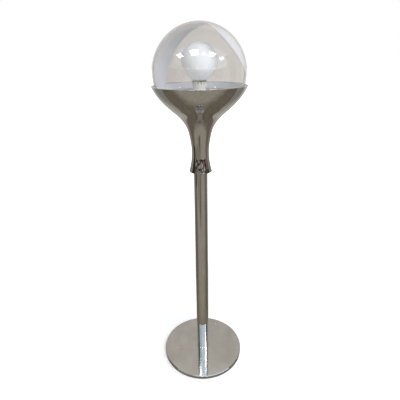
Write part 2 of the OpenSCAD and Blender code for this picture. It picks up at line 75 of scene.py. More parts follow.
class Canvas:
    """Places and joins nodes in one node tree."""

    def __init__(self, tree: bpy.types.NodeTree) -> None:
        """Starts on a tree, which is emptied."""
        self.tree = tree
        tree.nodes.clear()

    def add(
        self, kind: str, inputs: dict[str | int, object] | None = None, **settings: object
    ) -> bpy.types.Node:
        """Adds a node.

        Args:
            kind: Type of the node, in which a "ShaderNode" prefix may be left out.
            inputs: What goes into each socket, a plain value or another node's socket.
            **settings: Properties of the node itself.

        Returns:
            The new node.
        """
        whole = kind.startswith(("NodeGroup", "GeometryNode"))
        node = self.tree.nodes.new(kind if whole else "ShaderNode" + kind)
        for key, value in settings.items():
            setattr(node, key, value)
        for key, value in (inputs or {}).items():
            self.feed(node.inputs[key], value)
        return node

    def out(
        self,
        kind: str,
        inputs: dict[str | int, object] | None = None,
        output: str | int = 0,
        **settings: object,
    ) -> Socket:
        """Adds a node, as add does, and returns one of its outputs."""
        return self.add(kind, inputs, **settings).outputs[output]

    def feed(self, socket: Socket, value: object) -> None:
        """Links a socket to another, or sets its value, where a colour gets full opacity."""
        if isinstance(value, Socket):
            self.tree.links.new(value, socket)
        else:
            socket.default_value = (*value, 1.0) if socket.type == "RGBA" else value

    def math(self, operation: str, *values: object, clamp: bool = False) -> Socket:
        """Adds a Math node.

        Args:
            operation: Name of the operation.
            *values: Numbers or sockets, in order.
            clamp: Whether the result stays between 0 and 1.

        Returns:
            The socket that holds the result.
        """
        return self.out("Math", dict(enumerate(values)), operation=operation, use_clamp=clamp)

    def plus(self, first: object, second: object, clamp: bool = False) -> Socket:
        """Returns the sum."""
        return self.math("ADD", first, second, clamp=clamp)

    def minus(self, first: object, second: object) -> Socket:
        """Returns the difference."""
        return self.math("SUBTRACT", first, second)

    def times(self, first: object, second: object, clamp: bool = False) -> Socket:
        """Returns the product."""
        return self.math("MULTIPLY", first, second, clamp=clamp)

    def over(self, first: object, second: object, clamp: bool = False) -> Socket:
        """Returns the quotient."""
        return self.math("DIVIDE", first, second, clamp=clamp)

    def spread(
        self,
        value: Socket,
        low: object,
        high: object,
        start: float = 0.0,
        end: float = 1.0,
        curve: str = "LINEAR",
    ) -> Socket:
        """Maps one range onto another and stays inside it.

        Args:
            value: What is mapped.
            low: Value at which the result is the start.
            high: Value at which the result is the end.
            start: First end of the new range.
            end: Second end of the new range.
            curve: How the result runs from the start to the end.

        Returns:
            The socket with the result.
        """
        ranges = {"Value": value, "From Min": low, "From Max": high, "To Min": start, "To Max": end}
        return self.out("MapRange", ranges, "Result", interpolation_type=curve)

    def place(self) -> Socket:
        """Returns the place on the object, in metres."""
        return self.out("TexCoord", output="Object")

    def parts(self, vector: Socket) -> bpy.types.NodeOutputs:
        """Returns the outputs X, Y and Z of a vector."""
        return self.add("SeparateXYZ", {0: vector}).outputs

    def point(self, x: object = 0.0, y: object = 0.0, z: object = 0.0) -> Socket:
        """Returns the vector with these parts."""
        return self.out("CombineXYZ", {"X": x, "Y": y, "Z": z})

    def on_circle(self, radius: object, angle: Socket, height: object) -> Socket:
        """Returns the place at a radius, angle and height round the lamp's axis."""
        x, y = (self.times(radius, self.math(wave, angle)) for wave in ("COSINE", "SINE"))
        return self.point(x, y, height)

    def noise(
        self,
        place: Socket,
        scale: object,
        detail: float,
        seed: Socket | None = None,
        roughness: float = 0.5,
    ) -> Socket:
        """Adds a noise texture.

        Args:
            place: Where the noise is read.
            scale: How many clouds there are in a metre.
            detail: How many finer layers lie over them.
            seed: What sets this noise apart from others, if anything.
            roughness: How strong the finer layers are.

        Returns:
            The socket with the noise.
        """
        inputs = {"Vector": place, "Scale": scale, "Detail": detail, "Roughness": roughness}
        if seed is None:
            return self.out("TexNoise", inputs, "Fac")
        return self.out("TexNoise", {**inputs, "W": seed}, "Fac", noise_dimensions="4D")

    def mix(self, factor: Socket, first: object, second: object) -> Socket:
        """Returns a colour that runs from the first to the second as the factor grows."""
        return self.out("Mix", {"Factor": factor, 6: first, 7: second}, 2, data_type="RGBA")

    def blend(self, share: Socket, first: Socket, second: Socket) -> Socket:
        """Returns a shader that runs from the first to the second as the share grows."""
        return self.out("MixShader", {0: share, 1: first, 2: second})

    def glow(self, colour: object, strength: object = 1.0) -> Socket:
        """Returns an emission shader."""
        return self.out("Emission", {"Color": colour, "Strength": strength})

    def bump(self, height: Socket, depth: float, normal: Socket | None = None) -> Socket:
        """Returns the normal of a relief, which may lie over another."""
        below = {} if normal is None else {"Normal": normal}
        return self.out("Bump", {"Height": height, "Strength": 1.0, "Distance": depth, **below})

    def group(self, tree: bpy.types.NodeTree, **inputs: float) -> bpy.types.NodeOutputs:
        """Adds a node group and returns its outputs."""
        return self.add("Group", inputs, node_tree=tree).outputs

    def ramp(self, factor: Socket, stops: tuple[tuple[float, Colour], ...]) -> Socket:
        """Adds a stepped colour ramp.

        Args:
            factor: Socket that picks the place on the ramp.
            stops: Places and their colours, in order.

        Returns:
            The socket with the colour.
        """
        node = self.add("ValToRGB", {"Fac": factor})
        node.color_ramp.interpolation = "CONSTANT"
        elements = node.color_ramp.elements
        for place, _ in stops[2:]:
            elements.new(place)
        for element, (place, colour) in zip(elements, stops, strict=True):
            element.position = place
            element.color = (*colour, 1.0)
        return node.outputs["Color"]


class Effect:
    """A shader node group that several finishes share."""

    def __init__(self, name: str, **inputs: float) -> None:
        """Makes the group's tree with its inputs, by name and default value."""
        self.tree = bpy.data.node_groups.new(name, "ShaderNodeTree")
        self.canvas = Canvas(self.tree)
        for key, value in inputs.items():
            self.socket(key, "INPUT").default_value = value
        self.given = self.canvas.add("NodeGroupInput").outputs

    def socket(self, name: str, side: str) -> bpy.types.NodeTreeInterfaceSocket:
        """Returns a new socket of the group, for a plain number."""
        sockets = self.tree.interface
        return sockets.new_socket(name=name, in_out=side, socket_type="NodeSocketFloat")

    def close(self, **results: Socket) -> bpy.types.ShaderNodeTree:
        """Makes the outputs, by name and what feeds them, and returns the tree."""
        for key in results:
            self.socket(key, "OUTPUT")
        self.canvas.add("NodeGroupOutput", results)
        return self.tree

    @classmethod
    @cache
    def blotches(cls) -> bpy.types.ShaderNodeTree:
        """Returns the soft clouds of tone that hands and dust leave, as a mask."""
        effect = cls("Blotches", Size=0.03, Seed=0.0)
        c, given = effect.canvas, effect.given
        clouds = c.noise(c.place(), c.over(1.0, given["Size"]), 5.0, given["Seed"])
        contrast = 3.0
        return effect.close(Mask=c.plus(c.times(c.minus(clouds, 0.5), contrast), 0.5, clamp=True))

    @classmethod
    @cache
    def scuffs(cls) -> bpy.types.ShaderNodeTree:
        """Returns thin scratches in two directions, as a mask and a height."""
        effect = cls("Scuffs", Amount=0.5, Seed=0.0)
        c, given = effect.canvas, effect.given
        place = c.place()
        spacing, stretch, thickness, patch = 0.006, 14.0, 0.012, 0.05
        lines: list[Socket] = []
        for turn in ((0.3, 0.2, 0.7), (1.1, -0.4, -0.9)):
            turned = c.out("Mapping", {"Vector": place, "Rotation": turn})
            thin = {0: turned, 1: (1.0, 1.0, 1 / stretch)}
            drawn = c.out("VectorMath", thin, operation="MULTIPLY")
            noise = c.noise(drawn, 1 / spacing, 2.0, given["Seed"])
            ridge = c.math("ABSOLUTE", c.minus(noise, 0.5))
            lines.append(c.spread(ridge, 0.0, thickness, 1.0, 0.0))
        where = c.spread(c.noise(place, 1 / patch, 2.0), 0.5, 0.68)
        mask = c.times(c.times(c.math("MAXIMUM", *lines), where), given["Amount"], clamp=True)
        return effect.close(Mask=mask, Height=c.times(mask, -1.0))

    @classmethod
    @cache
    def grain(cls) -> bpy.types.ShaderNodeTree:
        """Returns the fine unevenness of a cast, painted or moulded skin, as a height."""
        effect = cls("Grain", Size=0.001, Seed=0.0)
        c, given = effect.canvas, effect.given
        noise = c.noise(c.place(), c.over(1.0, given["Size"]), 3.0, given["Seed"])
        return effect.close(Height=c.minus(noise, 0.5))

    @classmethod
    @cache
    def dust(cls) -> bpy.types.ShaderNodeTree:
        """Returns small specks that gather in patches, as a mask."""
        effect = cls("Dust", Seed=0.0)
        c, place = effect.canvas, effect.canvas.place()
        spacing, speck, patch = 0.008, 0.12, 0.05
        drawn = {"Vector": place, "W": effect.given["Seed"], "Scale": 1 / spacing}
        cells = c.out("TexVoronoi", drawn, "Distance", voronoi_dimensions="4D")
        specks = c.spread(cells, 0.0, speck, 1.0, 0.0)
        where = c.spread(c.noise(place, 1 / patch, 1.0), 0.52, 0.6)
        return effect.close(Mask=c.times(specks, where, clamp=True))


@dataclass(frozen=True)
class Finish:
    """What all finishes share: a name, and a material that is made once."""

    name: str

    def material(self) -> bpy.types.Material:
        """Returns the finish's material, made at the first call."""
        name = "finish_" + self.name
        return bpy.data.materials.get(name) or paint(name, self)

    def shade(self, c: Canvas) -> Socket:
        """Builds the shader in the canvas and returns its socket."""
        raise NotImplementedError


def paint(name: str, look: "Finish | Card") -> bpy.types.Material:
    """Makes a node material.

    Args:
        name: Name of the material.
        look: Finish or card that builds its shader.

    Returns:
        The material.
    """
    material = bpy.data.materials.new(name)
    material.use_nodes = True
    canvas = Canvas(material.node_tree)
    canvas.add("OutputMaterial", {"Surface": look.shade(canvas)})
    return material


@dataclass(frozen=True)
class Chrome(Finish):
    """Polished plate with haze, blotches, fine scratches and a slightly uneven sheet below.

    Attributes:
        bright: Colour where it is clean.
        dull: Colour of its blotches.
        blotch: Size of the blotches.
        gloss: Roughness where it is clean.
        haze: Roughness of the blotches.
        scratches: Share of the scratches that show.
        scratch_haze: What a scratch adds to the roughness.
        scratch_depth: Depth of a scratch.
        wave: Size of the waves of the sheet.
        wave_depth: Their depth.
        seed: What sets its pattern apart from others.
    """

    bright: Colour = (0.70, 0.69, 0.675)
    dull: Colour = (0.63, 0.62, 0.60)
    blotch: float = 0.05
    gloss: float = 0.02
    haze: float = 0.08
    scratches: float = 0.25
    scratch_haze: float = 0.25
    scratch_depth: float = 0.01 * MM
    wave: float = 0.09
    wave_depth: float = 0.06 * MM
    seed: float = 0.0

    def shade(self, c: Canvas) -> Socket:
        """Builds the plate's shader and returns its socket."""
        clouds = c.group(Effect.blotches(), Size=self.blotch, Seed=self.seed)["Mask"]
        scuffs = c.group(Effect.scuffs(), Amount=self.scratches, Seed=self.seed)
        waves = c.group(Effect.grain(), Size=self.wave, Seed=self.seed)["Height"]
        rough = c.spread(clouds, 0.0, 1.0, self.gloss, self.haze)
        inputs = {
            "Base Color": c.mix(clouds, self.bright, self.dull),
            "Metallic": 1.0,
            "Roughness": c.plus(rough, c.times(scuffs["Mask"], self.scratch_haze), clamp=True),
            "Normal": c.bump(scuffs["Height"], self.scratch_depth, c.bump(waves, self.wave_depth)),
        }
        return c.out("BsdfPrincipled", inputs)


@dataclass(frozen=True)
class Solid(Finish):
    """An opaque skin: plain, painted, moulded, cast or turned.

    A small painted glow stands in for the light that an opal skin lets through from all round.

    Attributes:
        light: Its lightest colour.
        dark: Its darkest colour.
        blotch: Size of the clouds between the two.
        gloss: Roughness at its lightest.
        matt: Roughness at its darkest.
        metallic: 1 for bare metal.
        grain: Size of its grain.
        grain_depth: Depth of its grain.
        dusty: Share of the dust that shows.
        coat: Share of a clear coat.
        glow: Strength of the painted glow.
        seed: What sets its pattern apart from others.
    """

    light: Colour = (0.8, 0.8, 0.8)
    dark: Colour = (0.7, 0.7, 0.7)
    blotch: float = 0.03
    gloss: float = 0.35
    matt: float = 0.5
    metallic: float = 0.0
    grain: float = 0.0012
    grain_depth: float = 0.03 * MM
    dusty: float = 0.0
    coat: float = 0.0
    glow: float = 0.0
    seed: float = 0.0

    def marked(self, c: Canvas, tone: Socket) -> Socket:
        """Returns the tone with any marks that the finish has of its own, such as grime or painted
        shade.
        """
        return tone

    def shade(self, c: Canvas) -> Socket:
        """Builds the skin's shader and returns its socket."""
        clouds = c.group(Effect.blotches(), Size=self.blotch, Seed=self.seed)["Mask"]
        grain = c.group(Effect.grain(), Size=self.grain, Seed=self.seed)["Height"]
        tone = self.marked(c, c.mix(clouds, self.light, self.dark))
        if self.dusty:
            dust = c.group(Effect.dust(), Seed=self.seed)["Mask"]
            tone = c.mix(c.times(dust, self.dusty), tone, srgb(150, 146, 138))
        inputs = {
            "Base Color": tone,
            "Metallic": self.metallic,
            "Roughness": c.spread(clouds, 0.0, 1.0, self.gloss, self.matt),
            "Coat Weight": self.coat,
            "Coat Roughness": 0.08,
            # Painted glow in the skin's own colour, which lifts the brightness of the opal bulb.
            "Emission Color": tone,
            "Emission Strength": self.glow,
            "Normal": c.bump(grain, self.grain_depth),
        }
        return c.out("BsdfPrincipled", inputs)


@dataclass(frozen=True)
class GripPlastic(Solid):
    """The plastic of the lampholder's ring, darker under its edge and between its grips, where
    grime and painted shade lie.

    Attributes:
        grime_and_shade: Colour of the grime and painted shade.
        edge: Height of the ring's upper edge.
        band: Height of the darker band of grime and painted shade under that edge.
        fade: Height at which the grime and painted shade between the grips have faded.
        grips: Number of darker gaps of grime and painted shade round the ring.
    """

    # Colour of the grime and painted shade on the ring.
    grime_and_shade: Colour = srgb(118, 104, 82)
    edge: float = 1200 * MM
    band: float = 5.5 * MM
    fade: float = 16 * MM
    grips: int = 14

    def marked(self, c: Canvas, tone: Socket) -> Socket:
        """Returns the tone with the grime and painted shade laid over it."""
        place = c.place()
        parts = c.parts(place)
        down = c.minus(self.edge, parts["Z"])
        # Grime and painted shade: a darker band under the upper edge, and darker gaps between the
        # grips.
        band = c.spread(down, self.band, self.band * 0.4)
        angle = c.math("ARCTAN2", parts["Y"], parts["X"])
        gap = c.spread(c.math("COSINE", c.times(angle, self.grips)), 0.2, 0.8)
        high = c.spread(down, self.fade, self.band)
        strong = c.spread(c.noise(place, 90.0, 2.0), 0.3, 0.5)
        grips = c.times(c.times(gap, high), 0.9)
        share = c.times(c.math("MAXIMUM", band, grips), strong, clamp=True)
        return c.mix(share, tone, self.grime_and_shade)


@dataclass(frozen=True)
class Glass(Finish):
    """Clear glass or acrylic with a slight tone, smears and specks of dust.

    Attributes:
        tone: Colour that it gives to what is seen through it.
        speck: Colour of the dust.
        ior: How much it bends light.
        smear: Roughness of its smears.
        smear_size: Size of its smears.
        wave: Size of its waves.
        wave_depth: Their depth.
        rim: Share of its outline that is seen straight through.
        grazing: How far it has to turn away for that, at first and in full.
        seed: What sets its pattern apart from others.
    """

    tone: Colour = (0.97, 0.975, 0.97)
    speck: Colour = (0.93, 0.93, 0.92)
    ior: float = 1.45
    smear: float = 0.006
    smear_size: float = 0.06
    wave: float = 0.12
    wave_depth: float = 0.01 * MM
    rim: float = 0.0
    grazing: tuple[float, float] = (0.68, 0.8)
    seed: float = 0.0

    def shade(self, c: Canvas) -> Socket:
        """Builds the glass's shader and returns its socket."""
        clouds = c.group(Effect.blotches(), Size=self.smear_size, Seed=self.seed)["Mask"]
        dust = c.group(Effect.dust(), Seed=self.seed)["Mask"]
        waves = c.group(Effect.grain(), Size=self.wave)["Height"]
        inputs = {
            "Base Color": c.mix(dust, self.tone, self.speck),
            "Roughness": c.spread(clouds, 0.0, 1.0, 0.0, self.smear),
            "IOR": self.ior,
            "Transmission Weight": 1.0,
            "Normal": c.bump(waves, self.wave_depth),
        }
        clear = c.out("BsdfPrincipled", inputs)
        paths = c.add("LightPath").outputs
        soft = c.math("MAXIMUM", paths["Is Shadow Ray"], paths["Is Diffuse Ray"])
        facing = c.out("LayerWeight", {"Blend": 0.5}, "Facing")
        grazing = c.spread(facing, *self.grazing, 0.0, self.rim)
        through = c.out("BsdfTransparent", {"Color": self.tone})
        return c.blend(c.math("MAXIMUM", soft, grazing), clear, through)


class Skin(Enum):
    """The finishes of the lamp, by the piece that wears them."""

    DISC = Chrome("disc_chrome", blotch=0.045, haze=0.12, scratches=0.5, wave=0.16)
    STEM = Chrome("stem_chrome", blotch=0.06, scratches=0.2, seed=3.0)
    TRUMPET = Chrome("trumpet_chrome", blotch=0.07, wave=0.07, seed=7.0)
    DISH = Solid(
        "dish_enamel", srgb(252, 253, 255), srgb(243, 245, 248), 0.06, 0.15, 0.25,
        coat=0.8, dusty=0.25, seed=1.0,
    )
    SHELL = Solid(
        "shell_white", srgb(226, 226, 228), srgb(216, 217, 219), 0.08, 0.3, 0.4, dusty=0.1, seed=2.0
    )
    GLOBE = Glass("globe_glass", (0.977, 0.975, 0.971), rim=0.4)
    # The bulb's glow is painted light, which lifts its brightness.
    BULB = Solid(
        "bulb_opal", srgb(253, 253, 252), srgb(246, 246, 245), 0.05, 0.6, 0.7,
        grain=0.004, glow=0.06, seed=4.0,
    )
    PORCELAIN = Solid(
        "porcelain", srgb(254, 253, 250), srgb(244, 242, 236), 0.012, 0.12, 0.22,
        coat=0.6, grain=0.003, seed=5.0,
    )
    # The ring carries grime and painted shade under its edge and between its grips.
    RING = GripPlastic(
        "holder_ring", srgb(253, 252, 247), srgb(240, 238, 230), 0.006, 0.3, 0.5,
        grain=0.0006, dusty=0.4, seed=6.0,
    )
    ALUMINIUM = Solid(
        "cap_metal", (0.72, 0.71, 0.69), (0.6, 0.59, 0.56), 0.008, 0.22, 0.38, 1.0,
        0.0006, 0.01 * MM, seed=8.0,
    )
    BRASS = Solid(
        "brass", (0.66, 0.47, 0.2), (0.45, 0.31, 0.13), 0.008, 0.25, 0.45, 1.0,
        0.0006, 0.01 * MM, seed=9.0,
    )
    STEEL = Solid(
        "turned_steel", (0.46, 0.45, 0.43), (0.33, 0.32, 0.3), 0.01, 0.3, 0.5, 1.0,
        0.0005, 0.01 * MM, seed=10.0,
    )
    BLACK_GLASS = Solid(
        "black_glass", srgb(26, 26, 32), srgb(16, 16, 20), 0.006, 0.08, 0.15, coat=0.5
    )
    RUBBER = Solid(
        "black_rubber", srgb(44, 44, 43), srgb(32, 32, 31), 0.02, 0.6, 0.8,
        grain=0.0008, dusty=0.5, seed=11.0,
    )
    SEAT = Solid(
        "seat_rubber", srgb(222, 220, 214), srgb(204, 201, 194), 0.02, 0.5, 0.7,
        grain=0.0008, dusty=0.3, seed=12.0,
    )
    NYLON = Solid(
        "bush_nylon", srgb(52, 52, 51), srgb(40, 40, 39), 0.015, 0.4, 0.55, grain=0.0008, seed=13.0
    )
    BLOCK = Solid("block_plastic", srgb(228, 222, 204), srgb(212, 205, 184), 0.01, grain=0.0006)
    SHEATH = Solid(
        "lead_sheath", srgb(220, 215, 202), srgb(204, 198, 184), 0.02, 0.4, 0.55, grain=0.001
    )
    CORE = Solid("core_sheath", srgb(124, 88, 58), srgb(104, 72, 46), 0.01, grain=0.0008)
    LAMP_GLASS = Glass("lamp_glass", (0.95, 0.96, 0.96), smear=0.1)
    WIRE = Solid(
        "filament_wire", (0.25, 0.24, 0.23), (0.18, 0.17, 0.16), 0.004, 0.4, 0.6, 1.0, 0.0004
    )

    def dress(self, *nodes: str) -> None:
        """Gives CAD nodes this finish, by their names."""
        for name in nodes:
            slots = NODES[name].data.materials
            slots.clear()
            slots.append(self.value.material())


class Form:
    """A Geometry Nodes tree that grows a mesh from named sizes."""

    def __init__(self, name: str, sizes: dict[str, float]) -> None:
        """Makes the tree with its sockets.

        Args:
            name: Name of the tree.
            sizes: Default value of each input, in metres or as a whole number.
        """
        self.tree = bpy.data.node_groups.new(name, "GeometryNodeTree")
        self.canvas = Canvas(self.tree)
        sockets = self.tree.interface
        for side in ("INPUT", "OUTPUT"):
            sockets.new_socket(name="Geometry", in_out=side, socket_type="NodeSocketGeometry")
        for key, value in sizes.items():
            kind = "NodeSocketInt" if isinstance(value, int) else "NodeSocketFloat"
            sockets.new_socket(name=key, in_out="INPUT", socket_type=kind).default_value = value
        sockets.new_socket(name="Finish", in_out="INPUT", socket_type="NodeSocketMaterial")
        self.given = self.canvas.add("NodeGroupInput").outputs

    def unit_grid(self, across: Socket, up: Socket) -> tuple[Socket, Socket, Socket]:
        """Lays a grid whose place is read as two shares.

        Args:
            across: Number of corners in the first direction.
            up: Number of corners in the second direction.

        Returns:
            The grid, the share across and the number of the row.
        """
        c = self.canvas
        sizes = {"Size X": 1.0, "Size Y": 1.0, "Vertices X": across, "Vertices Y": up}
        parts = c.parts(c.out("GeometryNodeInputPosition"))
        share, raised = (c.plus(parts[axis], 0.5) for axis in "XY")
        row = c.math("ROUND", c.times(raised, c.minus(up, 1.0)))
        return c.out("GeometryNodeMeshGrid", sizes), share, row

    def wrap(self, grid: Socket, share: Socket, radius: Socket, height: Socket) -> "Form":
        """Bends a grid round the lamp's axis, and closes the tree.

        Args:
            grid: The flat grid.
            share: Share of the full turn.
            radius: Distance from the axis.
            height: Height above the floor.

        Returns:
            The form.
        """
        place = self.canvas.on_circle(radius, self.canvas.times(share, TURN), height)
        return self.close(self.moved(grid, Position=place))

    def moved(self, shape: Socket, **move: Socket) -> Socket:
        """Returns a shape whose points have a new Position or an Offset."""
        return self.canvas.out("GeometryNodeSetPosition", {"Geometry": shape, **move})

    def in_ring(self, item: Socket, first: object = 0.0, tilt: object = 0.0) -> "Form":
        """Sets equal items on a circle, and closes the tree.

        Args:
            item: The shape.
            first: Angle of the first one.
            tilt: How far each is turned over.

        Returns:
            The form.
        """
        c, given = self.canvas, self.given
        step = c.over(TURN, given["Count"])
        angle = c.plus(first, c.times(c.out("GeometryNodeInputIndex"), step))
        place = c.on_circle(given["Ring"], angle, given["Height"])
        points = c.out("GeometryNodePoints", {"Count": given["Count"], "Position": place})
        set_out = {"Points": points, "Instance": item, "Rotation": c.point(y=tilt, z=angle)}
        return self.close(c.out("GeometryNodeInstanceOnPoints", set_out))

    def close(self, shape: Socket) -> "Form":
        """Ends the tree with merged, real geometry in its finish, and returns the form."""
        c = self.canvas
        real = c.out("GeometryNodeRealizeInstances", {0: shape})
        touching = 0.002 * MM
        merged = c.out("GeometryNodeMergeByDistance", {"Geometry": real, "Distance": touching})
        smooth = c.out("GeometryNodeSetShadeSmooth", {0: merged})
        skin = {"Geometry": smooth, "Material": self.given["Finish"]}
        c.add("NodeGroupOutput", {0: c.out("GeometryNodeSetMaterial", skin)})
        return self

    def grow(
        self, name: str, skin: Skin, sizes: dict[str, float], start: bpy.types.Mesh | None = None
    ) -> bpy.types.Object:
        """Grows one plain mesh piece at the origin.

        Args:
            name: Name of the piece.
            skin: Its finish.
            sizes: Values for the tree's inputs.
            start: Mesh that the tree starts from, if it needs one.

        Returns:
            The new object, linked to the scene.
        """
        piece = bpy.data.objects.new(name, start or bpy.data.meshes.new(name))
        bpy.context.scene.collection.objects.link(piece)
        modifier = piece.modifiers.new("form", "NODES")
        modifier.node_group = self.tree
        values = {**sizes, "Finish": skin.value.material()}
        for item in self.tree.interface.items_tree:
            if item.in_out == "INPUT" and item.name in values:
                modifier[item.identifier] = values[item.name]
        graph = bpy.context.evaluated_depsgraph_get()
        mesh = bpy.data.meshes.new_from_object(piece.evaluated_get(graph))
        piece.modifiers.clear()
        piece.data = mesh
        raw = bmesh.new()
        raw.from_mesh(mesh)
        bmesh.ops.delete(raw, geom=[e for e in raw.edges if not e.link_faces], context="EDGES")
        bmesh.ops.delete(raw, geom=[v for v in raw.verts if not v.link_faces], context="VERTS")
        bmesh.ops.recalc_face_normals(raw, faces=raw.faces)
        for face in raw.faces:
            face.material_index = 0
        raw.to_mesh(mesh)
        raw.free()
        mesh.materials.clear()
        mesh.materials.append(skin.value.material())
        mesh.set_sharp_from_angle(angle=math.radians(38))
        return piece

    @classmethod
    @cache
    def lathe(cls) -> "Form":
        """Returns the tree that turns the outline it is given about the lamp's axis."""
        form = cls("Lathe", {"Steps": 192})
        c, outline = form.canvas, form.given["Geometry"]
        count = c.out("GeometryNodeAttributeDomainSize", {"Geometry": outline}, "Point Count")
        grid, share, row = form.unit_grid(c.plus(form.given["Steps"], 1.0), c.plus(count, 1.0))
        sample = {
            "Geometry": outline,
            "Value": c.out("GeometryNodeInputPosition"),
            "Index": c.math("FLOORED_MODULO", row, count),
        }
        drawn = c.parts(c.out("GeometryNodeSampleIndex", sample, data_type="FLOAT_VECTOR"))
        return form.wrap(grid, share, drawn["X"], drawn["Z"])

    @classmethod
    @cache
    def thread(cls) -> "Form":
        """Returns the tree for a threaded rod, pipe or thin rolled shell."""
        form = cls("Thread", {
            "Radius": 5 * MM, "Wall": 1 * MM, "Depth": 0.5 * MM, "Inside": 0.0, "Pitch": 1 * MM,
            "Heel": 0.0, "Fade": 2 * MM, "Low": 0.0, "High": 20 * MM, "Rows": 80, "Steps": 32,
        })
        c, given = form.canvas, form.given
        rows, fade = given["Rows"], given["Fade"]
        twice = c.times(rows, 2.0)
        grid, share, row = form.unit_grid(c.plus(given["Steps"], 1.0), c.plus(twice, 3.0))
        back = c.minus(c.plus(twice, 1.0), row)
        level = c.math("MAXIMUM", c.math("MINIMUM", row, back), 0.0)
        length = c.minus(given["High"], given["Low"])
        risen = c.times(length, c.over(level, rows))
        height = c.plus(given["Low"], risen)
        turned = c.minus(c.over(height, given["Pitch"]), share)
        groove = c.math("MULTIPLY_ADD", c.math("COSINE", c.times(turned, TURN)), -0.5, 0.5)
        near_end = c.math("MINIMUM", risen, c.minus(length, risen))
        cut = c.times(c.times(given["Depth"], groove), c.over(near_end, fade, clamp=True))
        tuck = c.minus(1.0, c.over(risen, fade, clamp=True))
        body = c.minus(given["Radius"], c.times(given["Heel"], tuck))
        outer = c.minus(body, cut)
        inner = c.minus(c.minus(body, given["Wall"]), c.times(cut, given["Inside"]))
        past = c.math("GREATER_THAN", row, c.plus(rows, 0.5))
        is_inner = c.times(past, c.math("GREATER_THAN", back, -0.5))
        step_in = c.times(c.minus(inner, outer), is_inner)
        return form.wrap(grid, share, c.plus(outer, step_in), height)

    @classmethod
    @cache
    def screws(cls) -> "Form":
        """Returns the tree for a ring of equal slotted screws."""
        form = cls("Screws", {
            "Count": 3, "Ring": 15 * MM, "First": 0.0, "Tilt": 0.0, "Height": 0.0,
            "Head": 6 * MM, "Neck": 3 * MM, "Head Depth": 3 * MM, "Shank": 3 * MM,
            "Length": 20 * MM, "Pitch": 1 * MM, "Cut": 0.3 * MM, "Rows": 80,
        })
        c, given = form.canvas, form.given
        slot_edge, slot_width, slot_depth, neck = 0.86, 0.2, 0.4, 0.25
        depth = given["Head Depth"]
        cone = {"Radius Top": given["Head"], "Radius Bottom": given["Neck"], "Depth": depth}
        head = c.add("GeometryNodeMeshCone", {"Vertices": 28, **cone}).outputs

        def sink(mesh: Socket, face: Socket, by: object) -> bpy.types.NodeOutputs:
            """Returns the mesh with a face pushed along its normal, and that face as Top."""
            inputs = {"Mesh": mesh, "Selection": face, "Offset Scale": by, "Individual": False}
            return c.add("GeometryNodeExtrudeMesh", inputs).outputs

        inset = sink(head["Mesh"], head["Top"], 0.0)
        face = {"Geometry": inset["Mesh"], "Selection": inset["Top"], "Scale": slot_edge}
        narrowed = c.out("GeometryNodeScaleElements", face)
        slot = {**face, "Geometry": narrowed, "Scale": slot_width, "Axis": (0.0, 1.0, 0.0)}
        slotted = c.out("GeometryNodeScaleElements", slot, scale_mode="SINGLE_AXIS")
        sunk = sink(slotted, inset["Top"], c.times(depth, -slot_depth))["Mesh"]
        below = c.times(depth, -1.0)
        lowered = {"Geometry": sunk, "Translation": c.point(z=below)}
        shank = {
            "Radius": given["Shank"], "Wall": given["Shank"], "Depth": given["Cut"],
            "Pitch": given["Pitch"], "Low": c.times(given["Length"], -1.0), "High": below,
            "Rows": given["Rows"], "Steps": 16, "Inside": 0.0,
            "Heel": c.times(given["Shank"], neck), "Fade": given["Pitch"],
        }
        whole = c.add("GeometryNodeJoinGeometry")
        c.feed(whole.inputs[0], c.out("GeometryNodeTransform", lowered))
        c.feed(whole.inputs[0], c.out("GeometryNodeGroup", shank, node_tree=cls.thread().tree))
        return form.in_ring(whole.outputs[0], given["First"], given["Tilt"])

    @classmethod
    @cache
    def ribs(cls) -> "Form":
        """Returns the tree for a ring of upright ribs with round ends."""
        form = cls("Ribs", {
            "Count": 36, "Ring": 24 * MM, "Rib": 0.6 * MM, "Length": 15 * MM, "Height": 0.0,
        })
        c, given = form.canvas, form.given
        ball = {"Segments": 8, "Rings": 5, "Radius": given["Rib"]}
        up = c.math("SIGN", c.parts(c.out("GeometryNodeInputPosition"))["Z"])
        reach = c.minus(c.times(given["Length"], 0.5), given["Rib"])
        apart = c.point(z=c.times(up, reach))
        return form.in_ring(form.moved(c.out("GeometryNodeMeshUVSphere", ball), Offset=apart))

    @classmethod
    @cache
    def coil(cls) -> "Form":
        """Returns the tree for a wire coiled along a half circle that stands upright."""
        form = cls("Coil", {
            "Reach": 14 * MM, "Height": 0.0, "Coil": 0.35 * MM, "Wire": 0.09 * MM, "Turns": 60,
            "Steps": 10,
        })
        c, given = form.canvas, form.given
        count = c.times(given["Turns"], given["Steps"])
        line = {"Curve": c.out("GeometryNodeCurvePrimitiveLine"), "Count": c.plus(count, 1.0)}
        points = c.out("GeometryNodeResampleCurve", line)
        share = c.over(c.out("GeometryNodeInputIndex"), count)
        arch = c.times(share, math.pi)
        spin = c.times(c.times(share, given["Turns"]), TURN)
        out = c.math("MULTIPLY_ADD", given["Coil"], c.math("COSINE", spin), given["Reach"])
        x, rise = (c.times(out, c.math(wave, arch)) for wave in ("COSINE", "SINE"))
        y = c.times(given["Coil"], c.math("SINE", spin))
        bent = form.moved(points, Position=c.point(x, y, c.plus(given["Height"], rise)))
        section = {"Resolution": 6, "Radius": given["Wire"]}
        profile = c.out("GeometryNodeCurvePrimitiveCircle", section)
        wire = {"Curve": bent, "Profile Curve": profile, "Fill Caps": True}
        return form.close(c.out("GeometryNodeCurveToMesh", wire))


def turned(name: str, outline: Outline, skin: Skin, steps: int) -> bpy.types.Object:
    """Turns a closed outline about the lamp's axis.

    Args:
        name: Name of the piece.
        outline: Radius and height of each point, in order.
        skin: Its finish.
        steps: Number of steps round the axis.

    Returns:
        The new object.
    """
    drawn = bpy.data.meshes.new(name + "_outline")
    drawn.from_pydata([(radius, 0.0, height) for radius, height in outline], [], [])
    return Form.lathe().grow(name, skin, {"Steps": steps}, drawn)


